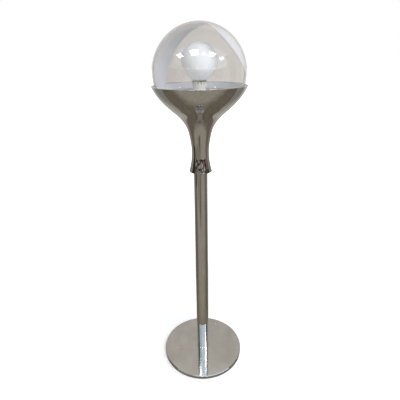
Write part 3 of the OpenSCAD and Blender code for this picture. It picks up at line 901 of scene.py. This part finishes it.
def install(piece: bpy.types.Object, body: str, slot: str, *nodes: str) -> None:
    """Puts a piece on its body, in the place of the nodes that it stands for.

    Args:
        piece: The new piece.
        body: Body that it rides on.
        slot: Material slot of the part that it shows; not used.
        *nodes: CAD nodes that it replaces.
    """
    if nodes:
        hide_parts(*nodes)
    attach(piece, body)
    LOG.info("%s built, %d faces", piece.name, len(piece.data.polygons))


@dataclass
class FloorDisc:
    """The chromed disc with the rubber ring, gland and terminals under it.

    Attributes:
        screw_count: Number of screws that hold the disc.
        screw_ring: Radius of the circle that they stand on.
        screw_head: Radius of their countersunk heads.
        screw_shank: Radius of their threads.
        screw_pitch: Pitch of their threads.
        screw_cut: Depth of their threads.
    """

    screw_count: int = 3
    screw_ring: float = 15 * MM
    screw_head: float = 5.4 * MM
    screw_shank: float = 3 * MM
    screw_pitch: float = 1 * MM
    screw_cut: float = 0.5 * MM

    def screws(self) -> bpy.types.Object:
        """Makes the screws that hold the disc to the stem, heads down."""
        low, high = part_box("base_screws")
        sizes = {
            "Count": self.screw_count, "Ring": self.screw_ring, "First": -math.pi / 2,
            "Tilt": math.pi, "Height": low.z, "Head": self.screw_head, "Neck": self.screw_shank,
            "Head Depth": self.screw_head - self.screw_shank, "Shank": self.screw_shank,
            "Length": high.z - low.z, "Pitch": self.screw_pitch, "Cut": self.screw_cut,
            "Rows": 130,
        }
        return Form.screws().grow("disc_screws", Skin.STEEL, sizes)

    def build(self) -> None:
        """Dresses the nodes of the disc and makes its screws."""
        Skin.DISC.dress("base_plate")
        Skin.RUBBER.dress("floor_pad", "cable_gland")
        Skin.BLOCK.dress("terminal_block")
        Skin.STEEL.dress("block_screws")
        install(self.screws(), "stand", "steel", "base_screws")


@dataclass
class Stem:
    """The tube with its foot ring, plugs and the lead inside."""

    def build(self) -> None:
        """Dresses the nodes of the stem."""
        Skin.STEM.dress("stem_tube", "foot_ring")
        Skin.STEEL.dress("lower_plug", "upper_plug")
        Skin.SHEATH.dress("supply_lead")
        Skin.CORE.dress("lead_cores")


@dataclass
class Trumpet:
    """The spun shell with its rounded rim and lip, and what clamps and lines it.

    Attributes:
        depths: Depth of each section below the rim, in metres.
        radii: Outer radius of each section.
        wall: Thickness of the sheet.
        step: Distance between two rings of the mesh.
        pipe_bore: Bore of the hollow pipe.
        pipe_pitch: Pitch of its thread.
        pipe_cut: Depth of its thread.
        slopes: Slope of the profile at each section.
    """

    depths: tuple[float, ...] = (0.0, 0.026, 0.045, 0.075, 0.105, 0.135, 0.185, 0.245, 0.302)
    radii: tuple[float, ...] = (
        0.1635, 0.14968, 0.1355, 0.106, 0.07225, 0.0505, 0.036, 0.032, 0.0425
    )
    wall: float = 1.2 * MM
    step: float = 2.0 * MM
    pipe_bore: float = 7.5 * MM
    pipe_pitch: float = 1.0 * MM
    pipe_cut: float = 0.3 * MM
    slopes: list[float] = field(default_factory=list)

    def __post_init__(self) -> None:
        """Works out the slopes."""
        gaps = [b - a for a, b in zip(self.depths, self.depths[1:])]
        chords = [(b - a) / gap for a, b, gap in zip(self.radii, self.radii[1:], gaps)]
        inner = [
            (chords[i - 1] * gaps[i] + chords[i] * gaps[i - 1]) / (gaps[i - 1] + gaps[i])
            for i in range(1, len(gaps))
        ]
        self.slopes = [2 * chords[0] - inner[0], *inner, 2 * chords[-1] - inner[-1]]

    def radius(self, depth: float) -> float:
        """Returns the outer radius at a depth below the rim."""
        last = len(self.depths) - 2
        i = next((k for k in range(last) if depth < self.depths[k + 1]), last)
        gap = self.depths[i + 1] - self.depths[i]
        t = (depth - self.depths[i]) / gap
        return (
            (2 * t**3 - 3 * t**2 + 1) * self.radii[i]
            + (t**3 - 2 * t**2 + t) * gap * self.slopes[i]
            + (3 * t**2 - 2 * t**3) * self.radii[i + 1]
            + (t**3 - t**2) * gap * self.slopes[i + 1]
        )

    def wall_point(self, depth: float, inside: float, rim: float) -> tuple[float, float]:
        """Finds a point behind the outer surface.

        Args:
            depth: Depth below the rim.
            inside: Distance behind the surface.
            rim: Height of the rim.

        Returns:
            Radius and height of the point.
        """
        slope = (self.radius(depth + MM / 2) - self.radius(depth - MM / 2)) / MM
        length = math.hypot(1, slope)
        return self.radius(depth) - inside / length, rim - depth - slope * inside / length

    def outline(self, rim: float) -> Outline:
        """Returns the closed outline of the sheet, from the lip up the outside and back down."""
        low, high = self.depths[-1] - self.wall / 2, self.wall / 2
        count = round((low - high) / self.step)
        depths = [low + (high - low) * k / count for k in range(count + 1)]
        outside = [self.wall_point(d, 0.0, rim) for d in depths]
        inside = [self.wall_point(d, self.wall, rim) for d in reversed(depths)]

        def bead(start: tuple[float, float], end: tuple[float, float]) -> Outline:
            """Returns the points of the half circle from start to end."""
            middle = Vector(((start[0] + end[0]) / 2, (start[1] + end[1]) / 2))
            arm = Vector(start) - middle
            spots = [Matrix.Rotation(math.pi * k / 8, 2) @ arm + middle for k in range(1, 8)]
            return [(spot.x, spot.y) for spot in spots]

        return [*outside, *bead(outside[-1], inside[0]), *inside, *bead(inside[-1], outside[0])]

    def pipe(self) -> bpy.types.Object:
        """Makes the hollow pipe with its fine thread."""
        low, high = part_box("threaded_pipe")
        sizes = {
            "Radius": high.x, "Wall": high.x - self.pipe_bore / 2, "Depth": self.pipe_cut,
            "Pitch": self.pipe_pitch, "Low": low.z, "High": high.z, "Fade": self.pipe_pitch,
            "Rows": 1000, "Steps": 24,
        }
        return Form.thread().grow("fine_threaded_pipe", Skin.BRASS, sizes)

    def build(self) -> None:
        """Turns the shell in place of its node, and dresses the rest."""
        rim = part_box("trumpet_cup")[1].z
        shell = turned("trumpet_shell", self.outline(rim), Skin.TRUMPET, 256)
        install(shell, "stand", "trumpet_chrome", "trumpet_cup")
        install(self.pipe(), "stand", "brass", "threaded_pipe")
        Skin.DISH.dress("inner_dish")
        Skin.NYLON.dress("throat_bush")
        Skin.STEEL.dress("throat_plate", "pipe_washers")
        Skin.BRASS.dress("pipe_nuts")
        Skin.SEAT.dress("globe_seat")


@dataclass(frozen=True)
class ScrewThread:
    """The round thread that the cap of the bulb and the holder's shell share.

    Attributes:
        pitch: Rise in one turn, which the coupled joints of the bulb keep to.
        depth: Depth of the groove.
        sheet: Thickness of the rolled sheet.
    """

    pitch: float = 3.629 * MM
    depth: float = 0.85 * MM
    sheet: float = 0.5 * MM

    def shell(
        self, name: str, skin: Skin, node: str, fade: float, heel: float = 0.0
    ) -> bpy.types.Object:
        """Makes a rolled and threaded shell in the place of a node.

        Args:
            name: Name of the piece.
            skin: Its finish.
            node: Node whose box gives its radius and heights.
            fade: Length at each end over which the thread runs out.
            heel: How far the lower end is drawn in.

        Returns:
            The new object.
        """
        low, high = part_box(node)
        sizes = {
            "Radius": high.x, "Wall": self.sheet, "Depth": self.depth, "Inside": 1.0,
            "Pitch": self.pitch, "Heel": heel, "Fade": fade, "Low": low.z, "High": high.z,
            "Rows": 90, "Steps": 96,
        }
        return Form.thread().grow(name, skin, sizes)


@dataclass
class Lampholder:
    """The porcelain lampholder on its bracket.

    Attributes:
        thread: Thread of its shell.
        bore: Inner radius of the ring.
        opening: Radius of the way through the ring's shoulder.
        sleeve_top: How far the sleeve stands above the lower edge of the ring.
        shoulder: Thickness of the shoulder.
        edge: Radius of the ring's rounded upper edge.
        rib: Radius of a grip rib.
        rib_count: Number of grip ribs.
        rib_end: Distance from a rib's end to the edge of the ring.
        clamp_end: Distance from the axis to the inner end of a clamp screw.
        screw_head: Height of a screw's head.
        screw_pitch: Pitch of its thread.
        screw_cut: Depth of its thread.
    """

    thread: ScrewThread = ScrewThread()
    bore: float = 22.3 * MM
    opening: float = 19.5 * MM
    sleeve_top: float = 6.5 * MM
    shoulder: float = 2.0 * MM
    edge: float = 0.7 * MM
    rib: float = 0.5 * MM
    rib_count: int = 36
    rib_end: float = 2.0 * MM
    clamp_end: float = 12.5 * MM
    screw_head: float = 1 * MM
    screw_pitch: float = 0.6 * MM
    screw_cut: float = 0.25 * MM

    def ring_body(self) -> bpy.types.Object:
        """Turns the ring with its shoulder and rounded upper edge."""
        low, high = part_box("holder_ring")
        skin, seat = high.x - self.rib, low.z + self.sleeve_top
        across, up = skin - self.edge, high.z - self.edge
        turns = [math.pi * k / 12 for k in range(7)]
        outline = [
            (self.bore, low.z), (skin, low.z),
            *((across + self.edge * math.cos(t), up + self.edge * math.sin(t)) for t in turns),
            (self.bore, high.z), (self.bore, seat + self.shoulder),
            (self.opening, seat + self.shoulder), (self.opening, seat), (self.bore, seat),
        ]
        return turned("ring_body", outline, Skin.RING, 144)

    def ring_ribs(self) -> bpy.types.Object:
        """Makes the grip ribs round the ring."""
        low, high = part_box("holder_ring")
        sizes = {
            "Count": self.rib_count, "Ring": high.x - self.rib, "Rib": self.rib,
            "Length": high.z - low.z - 2 * self.rib_end, "Height": (low.z + high.z) / 2,
        }
        return Form.ribs().grow("ring_ribs", Skin.RING, sizes)

    def screws(self, name: str, node: str, radial: bool) -> bpy.types.Object:
        """Makes the two screws that stand for a node.

        Args:
            name: Name of the piece.
            node: The node.
            radial: Whether they lie level and face outwards, or stand with their heads down.

        Returns:
            The new object.
        """
        low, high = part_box(node)
        if radial:
            skin, radius, length = Skin.BRASS, high.y, high.x - self.clamp_end
            place = {"Ring": high.x, "Tilt": math.pi / 2, "Height": (low.z + high.z) / 2}
        else:
            skin, radius, length = Skin.STEEL, high.x, high.z - low.z
            place = {"Ring": high.y - high.x, "Tilt": math.pi, "Height": low.z}
        sizes = {
            **place, "Count": 2, "First": 0.0 if radial else math.pi / 2, "Head": radius,
            "Neck": radius, "Head Depth": self.screw_head, "Shank": radius, "Length": length,
            "Pitch": self.screw_pitch, "Cut": self.screw_cut,
            "Rows": round(4 * length / self.screw_pitch),
        }
        return Form.screws().grow(name, skin, sizes)

    def build(self) -> None:
        """Makes the ring, shell and screws, and dresses the other nodes."""
        Skin.PORCELAIN.dress("holder_sleeve", "holder_foot")
        Skin.STEEL.dress("holder_bracket")
        Skin.BRASS.dress("centre_contact")
        install(self.ring_body(), "stand", "ivory_plastic", "holder_ring")
        install(self.ring_ribs(), "stand", "ivory_plastic")
        shell = self.thread.shell("rolled_shell", Skin.BRASS, "screw_shell", 1.5 * MM)
        install(shell, "stand", "brass", "screw_shell")
        joining = self.screws("joining_screws", "holder_screws", radial=False)
        install(joining, "stand", "steel", "holder_screws")
        clamping = self.screws("clamp_screws", "terminal_screws", radial=True)
        install(clamping, "stand", "brass", "terminal_screws")


@dataclass
class RoundBulb:
    """The opal bulb with its cap and filament.

    Attributes:
        thread: Thread of its cap.
        heel: How far the cap is drawn in at its lower end.
        coil: Radius of the filament's coil.
        wire: Radius of its wire.
        turns: Number of turns of the coil.
    """

    thread: ScrewThread = ScrewThread()
    heel: float = 3.5 * MM
    coil: float = 0.36 * MM
    wire: float = 0.09 * MM
    turns: int = 70

    def filament(self) -> bpy.types.Object:
        """Makes the coiled filament along its arch."""
        low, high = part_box("filament")
        sizes = {
            "Reach": high.x - high.y, "Height": low.z, "Coil": self.coil, "Wire": self.wire,
            "Turns": self.turns,
        }
        return Form.coil().grow("coiled_filament", Skin.WIRE, sizes)

    def build(self) -> None:
        """Makes the cap and the filament, and dresses the other nodes."""
        Skin.BULB.dress("bulb_glass")
        Skin.ALUMINIUM.dress("bulb_contact")
        Skin.BLACK_GLASS.dress("bulb_insulator")
        Skin.LAMP_GLASS.dress("filament_mount")
        cap = self.thread.shell("rolled_cap", Skin.ALUMINIUM, "bulb_cap", 2.5 * MM, self.heel)
        install(cap, "bulb", "bulb_metal", "bulb_cap")
        install(self.filament(), "bulb", "filament_wire", "filament")


@dataclass
class GlobeShade:
    """The clear globe with the white shell inside.

    Attributes:
        radius: Outer radius of the glass.
        wall: Thickness of the glass.
        melted: Height of the rounded edge of its mouth.
        arc_steps: Number of steps from the mouth to the top.
    """

    radius: float = 157.5 * MM
    wall: float = 3.5 * MM
    melted: float = 1.2 * MM
    arc_steps: int = 58

    def outline(self, mouth: float, middle: float) -> Outline:
        """Draws the closed outline of half the glass.

        Args:
            mouth: Height of the open edge.
            middle: Height of the globe's centre.

        Returns:
            Radius and height of each point.
        """

        def arc(radius: float) -> Outline:
            """Returns the points from the edge of the mouth to the top."""
            first = math.asin((mouth + self.melted - middle) / radius)
            steps = range(self.arc_steps + 1)
            turns = [first + (math.pi / 2 - first) * k / self.arc_steps for k in steps]
            return [(max(radius * math.cos(t), 0.0), middle + radius * math.sin(t)) for t in turns]

        outer, inner = arc(self.radius), arc(self.radius - self.wall)
        half, centre = (outer[0][0] - inner[0][0]) / 2, (outer[0][0] + inner[0][0]) / 2
        turns = [math.pi * k / 8 for k in range(1, 8)]
        edge = [
            (centre - half * math.cos(t), mouth + self.melted * (1 - math.sin(t))) for t in turns
        ]
        return [*outer, *reversed(inner), *edge]

    def build(self) -> None:
        """Turns the glass in place of its node and dresses the shell."""
        low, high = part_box("clear_globe")
        outline = self.outline(low.z, high.z - self.radius)
        glass = turned("turned_glass", outline, Skin.GLOBE, 256)
        install(glass, "globe", "clear_glass", "clear_globe")
        Skin.SHELL.dress("white_shell")


class Seen(Enum):
    """What a sheet of the studio is seen by."""

    ALL = ("camera", "diffuse", "glossy", "transmission", "shadow")
    MIRRORS = ("glossy", "transmission")


@dataclass(frozen=True)
class Card:
    """A flat sheet of light in the studio, with a soft pattern of tones.

    Attributes:
        name: Name of the card.
        middle: Its centre, in metres.
        half: Half of its size along each axis, 0 along one of them.
        light: Colour of its lightest patches.
        dark: Colour of its darkest patches.
        strength: Brightness.
        patch: Size of the patches.
        stretch: How much narrower the patches are in each direction.
        seen: What sees it.
    """

    name: str
    middle: Point
    half: Point
    light: Colour = (1.0, 1.0, 1.0)
    dark: Colour = (0.0, 0.0, 0.0)
    strength: float = 1.0
    patch: float = 0.3
    stretch: Point = (1.0, 1.0, 1.0)
    seen: Seen = Seen.MIRRORS

    def tone(self, c: Canvas) -> Socket:
        """Builds the pattern and returns its colour."""
        drawn = c.out("Mapping", {"Vector": c.place(), "Scale": self.stretch})
        clouds = c.spread(c.noise(drawn, 1 / self.patch, 6.0), 0.3, 0.7)
        return c.mix(clouds, self.dark, self.light)

    def shade(self, c: Canvas) -> Socket:
        """Builds the shader and returns its socket."""
        return c.glow(self.tone(c), self.strength)

    def build(self) -> None:
        """Makes the sheet and sets what sees it."""
        x, y, z = self.half
        middle = Vector(self.middle)
        across, along = Vector((x, 0 if x else y, 0)), Vector((0, y if x else 0, z))
        corners = [middle + a * across + b * along for a, b in ((-1, -1), (1, -1), (1, 1), (-1, 1))]
        mesh = bpy.data.meshes.new(self.name)
        mesh.from_pydata(corners, [], [(0, 1, 2, 3)])
        material = paint("card_" + self.name, self)
        material.cycles.emission_sampling = "NONE"
        mesh.materials.append(material)
        card = bpy.data.objects.new(self.name, mesh)
        bpy.context.scene.collection.objects.link(card)
        for kind in Seen.ALL.value:
            setattr(card, "visible_" + kind, kind in self.seen.value)


@dataclass(frozen=True)
class Wall(Card):
    """A card that darkens towards its ends.

    Attributes:
        end: Colour at the ends.
        upper: Colour high up.
        upper_right: Colour high up on the right.
        bright_half: Half of the width that keeps its full tone.
        fade: Distance over which the tone falls.
        upper_from: Heights between which the upper colour comes in.
        upper_share: Share of the upper colour.
        right_from: Places between which the colour on the right comes in.
    """

    end: Colour = srgb(138, 134, 130)
    upper: Colour = srgb(212, 207, 203)
    upper_right: Colour = srgb(232, 229, 223)
    bright_half: float = 0.3
    fade: float = 0.5
    upper_from: tuple[float, float] = (0.8, 1.05)
    upper_share: float = 0.75
    right_from: tuple[float, float] = (-0.1, 0.4)

    def tone(self, c: Canvas) -> Socket:
        """Builds the wall's colour and returns it."""
        parts = c.parts(c.place())
        aside = c.math("ABSOLUTE", parts["X"])
        off = c.spread(aside, self.bright_half, self.bright_half + self.fade)
        lower = c.mix(off, super().tone(c), self.end)
        upper = c.mix(c.spread(parts["X"], *self.right_from), self.upper, self.upper_right)
        high = c.spread(parts["Z"], *self.upper_from)
        return c.mix(c.times(high, self.upper_share), lower, upper)


@dataclass(frozen=True)
class Ceiling(Card):
    """A card that darkens to the left.

    Attributes:
        left: Colour on the left.
        left_from: Places between which that colour comes in.
    """

    left: Colour = (0.5, 0.5, 0.51)
    left_from: tuple[float, float] = (-0.9, -1.9)

    def tone(self, c: Canvas) -> Socket:
        """Builds the ceiling's colour and returns it."""
        aside = c.spread(c.parts(c.place())["X"], *self.left_from)
        return c.mix(aside, super().tone(c), self.left)


@dataclass(frozen=True)
class Clutter(Card):
    """A card of upright patches in many tones, like shelves and doors far off.

    Attributes:
        tones: Colours of the patches, each with the place where it starts on a scale of 1.
        width: Width of a patch.
        height: Height of a patch.
    """

    tones: tuple[tuple[float, Colour], ...] = (
        (0.0, srgb(44, 36, 33)),
        (0.3, srgb(96, 80, 70)),
        (0.5, srgb(70, 56, 50)),
        (0.6, srgb(132, 106, 86)),
        (0.68, srgb(138, 132, 130)),
        (0.74, srgb(52, 44, 42)),
        (0.8, srgb(158, 166, 176)),
        (0.88, srgb(226, 224, 222)),
    )
    width: float = 0.9
    height: float = 0.6

    def tone(self, c: Canvas) -> Socket:
        """Builds the patches and returns their colour."""
        size = (1 / self.width, 1 / self.width, 1 / self.height)
        drawn = c.out("Mapping", {"Vector": c.place(), "Scale": size})
        patches = {"Vector": drawn, "Scale": 1.0, "Randomness": 0.8}
        cells = c.out("TexVoronoi", patches, "Color")
        return c.ramp(c.out("SeparateColor", {0: cells}), self.tones)


@dataclass(frozen=True)
class Floor(Card):
    """The pale floor, which the metal sees as a darker one.

    Attributes:
        back: Darkest and lightest colour that the metal sees behind the lamp.
        front: The same before the lamp.
        far: Colour of the dark floor further off.
        bounce: Light that it throws back at the lamp.
        lift: Colour of the light that keeps it white.
        lift_from: Distances between which that light grows.
        lift_by: Its strength at both.
        turn_from: Places between which the colour behind passes into the one before.
        wander: How far that border wanders, and the scale of its bends.
        seam_x: Middle of the strip that stays darker before the lamp.
    """

    back: tuple[Colour, Colour] = (srgb(104, 95, 83), srgb(122, 114, 101))
    front: tuple[Colour, Colour] = (srgb(148, 141, 129), srgb(168, 161, 149))
    far: Colour = srgb(84, 78, 68)
    bounce: Colour = (0.74, 0.72, 0.68)
    lift: Colour = (1.0, 0.98, 0.95)
    lift_from: tuple[float, float] = (0.6, 2.0)
    lift_by: tuple[float, float] = (0.4, 1.1)
    turn_from: tuple[float, float] = (0.18, -0.4)
    wander: tuple[float, float] = (0.5, 3.5)
    seam_x: float = -0.22

    def tone(self, c: Canvas) -> Socket:
        """Builds the floor that the metal sees and returns its colour."""
        place = c.place()
        parts = c.parts(place)
        clouds = c.spread(c.noise(place, 7.0, 8.0, roughness=0.65), 0.35, 0.65)
        bend, scale = self.wander
        border = c.math("MULTIPLY_ADD", c.noise(place, scale, 3.0), bend, -bend / 2)
        aside = c.times(c.math("ABSOLUTE", parts["X"]), 0.3)
        near = c.plus(c.plus(parts["Y"], aside), border)
        ahead = c.spread(near, *self.turn_from, curve="SMOOTHSTEP")
        tone = c.mix(ahead, c.mix(clouds, *self.back), c.mix(clouds, *self.front))
        off_seam = c.math("ABSOLUTE", c.minus(parts["X"], self.seam_x))
        seam = c.spread(off_seam, 0.12, 0.3, 0.95, 0.0)
        left = c.spread(parts["X"], 0.3, -1.2, 0.0, 0.45)
        beyond = c.spread(parts["Y"], -1.1, -1.5)
        return c.mix(c.times(c.math("MAXIMUM", seam, left), beyond), tone, self.far)

    def shade(self, c: Canvas) -> Socket:
        """Builds the shader and returns its socket."""
        paths = c.add("LightPath").outputs
        away = c.out("VectorMath", {0: c.place()}, "Value", operation="LENGTH")
        lift = c.glow(self.lift, c.spread(away, *self.lift_from, *self.lift_by))
        white = c.out("AddShader", {0: c.out("BsdfDiffuse", {"Color": self.light}), 1: lift})
        soft = c.blend(paths["Is Diffuse Ray"], white, c.glow(self.bounce))
        return c.blend(paths["Is Glossy Ray"], soft, c.glow(self.tone(c)))


@dataclass
class Studio:
    """Floor, cards, lamp, world and camera.

    Attributes:
        half_floor: Half of the side of the pale floor.
        wall_y: Distance of the wall behind the lamp.
        wall_half: Half of the width of its light part.
        ceiling: Height of the ceiling.
        skirting: Height of the lowest strip of the wall on both sides.
        front_y: Distance of the far side of the room, before the lamp.
        half_room: Half of the width of the room.
        side_x: Distance of the dark cupboards beside the lamp.
        panels: Middle and half sizes of the bright panels of the ceiling, in X and Y.
        panel_light: Their brightness.
        lamp_at: Place of the soft lamp above and before the object.
        lamp_aim: What it points at.
        lamp_size: Its diameter.
        lamp_power: Its power in watts.
        lamp_colour: Its colour.
        sky: Colour of the light from low down and from high up.
        tint: What colours it from the left and from the right.
        camera_at: Where the photograph was taken from.
        camera_down: How many degrees the camera looks down.
        camera_roll: How many degrees it is rolled.
        camera_lens: Its focal length in millimetres on a sensor of 36.
    """

    half_floor: float = 30.0
    wall_y: float = 0.62
    wall_half: float = 1.45
    ceiling: float = 2.6
    skirting: float = 0.5
    front_y: float = -7.0
    half_room: float = 5.0
    side_x: float = 2.1
    panels: tuple[tuple[float, float, float, float], ...] = (
        (-1.46, -1.08, 0.24, 0.24),
        (-0.31, -1.21, 0.27, 0.25),
        (0.32, -1.34, 0.09, 0.09),
        (0.9, -1.25, 0.26, 0.23),
        (2.01, -1.2, 0.25, 0.25),
        *((x, -4.8, 0.3, 0.16) for x in (-2.4, -0.4, 1.4, 3.2)),
    )
    panel_light: float = 14.0
    lamp_at: Point = (1.4, -2.2, 3.1)
    lamp_aim: Point = (0.0, 0.0, 0.9)
    lamp_size: float = 2.4
    lamp_power: float = 45.0
    lamp_colour: Colour = (0.95, 0.985, 1.03)
    sky: tuple[Colour, Colour] = ((0.70, 0.69, 0.67), (1.0, 1.04, 1.09))
    tint: tuple[Colour, Colour] = ((1.0, 0.965, 0.94), (0.96, 1.0, 1.08))
    camera_at: Point = (-0.004, -1.1988, 1.2834)
    camera_down: float = 23.49
    camera_roll: float = -0.825
    camera_lens: float = 30.42

    def floor(self) -> Card:
        """Returns the floor."""
        half = (self.half_floor, self.half_floor, 0)
        return Floor("floor", (0, 0, 0), half, (0.88, 0.88, 0.88), seen=Seen.ALL)

    def room(self) -> list[Card]:
        """Returns the walls and the ceiling that the metal and the glass see."""
        top, half_top, low = self.ceiling, self.ceiling / 2, self.skirting / 2
        side_half = (self.half_room - self.wall_half) / 2
        room_half = (self.wall_y - self.front_y) / 2
        black = (srgb(58, 50, 44), srgb(34, 28, 25))
        brown = (srgb(140, 124, 110), srgb(112, 98, 86))
        grey = (srgb(158, 154, 151), srgb(144, 140, 137))
        cards: list[Card] = [
            Wall(
                "wall", (0, self.wall_y, half_top), (self.wall_half, 0, half_top),
                srgb(197, 192, 184), srgb(184, 179, 170), patch=0.12, stretch=(1.6, 1.0, 0.5),
            ),
            Card(
                "ceiling_near", (0, 0.01, top), (self.half_room, 0.61, 0),
                (0.36, 0.36, 0.36), (0.26, 0.26, 0.26),
            ),
            Ceiling(
                "ceiling_far", (0, -3.8, top), (self.half_room, 3.2, 0),
                (1.04, 1.28, 1.56), (0.84, 1.05, 1.31), patch=0.35,
            ),
            Card(
                "window_left", (-2.45, -1.9, top - 0.02), (0.5, 0.8, 0),
                (1.15, 1.15, 1.16), (1.0, 1.0, 1.01),
            ),
            Card(
                "window_right", (2.3, -1.5, top - 0.02), (0.5, 1.1, 0),
                (1.25, 1.38, 1.5), (1.1, 1.2, 1.3),
            ),
            Clutter(
                "far_side", (0, self.front_y, half_top), (self.half_room, 0, half_top),
                width=0.7, height=0.45,
            ),
        ]
        for name, side, lower in (("left", -1, black), ("right", 1, brown)):
            wall_x, near_x = side * (self.wall_half + side_half), side * self.side_x
            aside = (side * self.half_room, self.wall_y - room_half, half_top)
            cards += [
                Card("skirting_" + name, (wall_x, self.wall_y, low), (side_half, 0, low), *grey),
                Card(
                    "wall_" + name, (wall_x, self.wall_y, low + half_top),
                    (side_half, 0, half_top - low), *grey,
                ),
                Card("cupboard_" + name, (near_x, -0.4, 0.5), (0, 0.4, 0.5), *lower),
                Card("shelf_" + name, (near_x, -0.4, 1.8), (0, 0.4, 0.8), *black),
                Clutter("side_" + name, aside, (0, room_half, half_top)),
            ]
        return cards

    def bright_panels(self) -> list[Card]:
        """Returns the bright panels of the ceiling."""
        below, tones = self.ceiling - 0.03, ((1.0, 1.0, 1.0), (0.96, 0.98, 1.0))
        return [
            Card(f"panel_{k}", (x, y, below), (half_x, half_y, 0), *tones, self.panel_light, 0.5)
            for k, (x, y, half_x, half_y) in enumerate(self.panels)
        ]

    def lamp(self) -> None:
        """Hangs a wide soft lamp above and before the object."""
        light = bpy.data.lights.new("key", "AREA")
        light.shape = "DISK"
        light.size = self.lamp_size
        light.energy = self.lamp_power
        light.color = self.lamp_colour
        lamp = bpy.data.objects.new("key", light)
        lamp.location = self.lamp_at
        aim = Vector(self.lamp_aim) - Vector(self.lamp_at)
        lamp.rotation_euler = aim.to_track_quat("-Z", "Y").to_euler()
        lamp.visible_glossy = False
        lamp.visible_transmission = False
        bpy.context.scene.collection.objects.link(lamp)

    def world(self) -> None:
        """Sets the soft light from all round, and the white behind the lamp."""
        world = bpy.data.worlds.new("studio")
        bpy.context.scene.world = world
        world.use_nodes = True
        c = Canvas(world.node_tree)
        parts = c.parts(c.out("TexCoord", output="Generated"))
        sky = c.mix(c.spread(parts["Z"], -0.2, 0.8), *self.sky)
        right = c.spread(parts["X"], -0.5, 1.0)
        tints = {0: sky, 1: c.mix(right, *self.tint)}
        tinted = c.out("VectorMath", tints, operation="MULTIPLY")
        strength = c.spread(right, 0.0, 1.0, 0.1, 1.6)
        soft = c.out("Background", {"Color": tinted, "Strength": strength})
        white = c.out("Background", {"Color": (1.0, 1.0, 1.0), "Strength": 1.0})
        paths = c.add("LightPath").outputs
        mirrored = c.math("MAXIMUM", paths["Is Glossy Ray"], paths["Is Transmission Ray"])
        seen = c.math("MAXIMUM", paths["Is Camera Ray"], mirrored)
        c.add("OutputWorld", {"Surface": c.blend(seen, soft, white)})

    def camera(self) -> None:
        """Places the camera where the photograph was taken from."""
        data = bpy.data.cameras.new("camera")
        data.sensor_width = 36.0
        data.lens = self.camera_lens
        data.clip_start = 0.05
        camera = bpy.data.objects.new("camera", data)
        tilt = Matrix.Rotation(math.radians(90 - self.camera_down), 4, "X")
        roll = Matrix.Rotation(math.radians(self.camera_roll), 4, "Z")
        camera.matrix_world = Matrix.Translation(self.camera_at) @ tilt @ roll
        bpy.context.scene.collection.objects.link(camera)
        bpy.context.scene.camera = camera

    def build(self) -> None:
        """Builds the whole studio."""
        self.camera()
        for card in (self.floor(), *self.room(), *self.bright_panels()):
            card.build()
        self.lamp()
        self.world()
        bpy.context.scene.view_settings.view_transform = "Standard"


def main() -> None:
    """Builds the studio and dresses the lamp, sub-assembly by sub-assembly."""
    logging.basicConfig(level=logging.INFO, format="%(message)s")
    parts = (Studio(), FloorDisc(), Stem(), Trumpet(), Lampholder(), RoundBulb(), GlobeShade())
    for part in parts:
        part.build()
        LOG.info("%s ready", type(part).__name__)


if __name__ == "__main__":
    main()
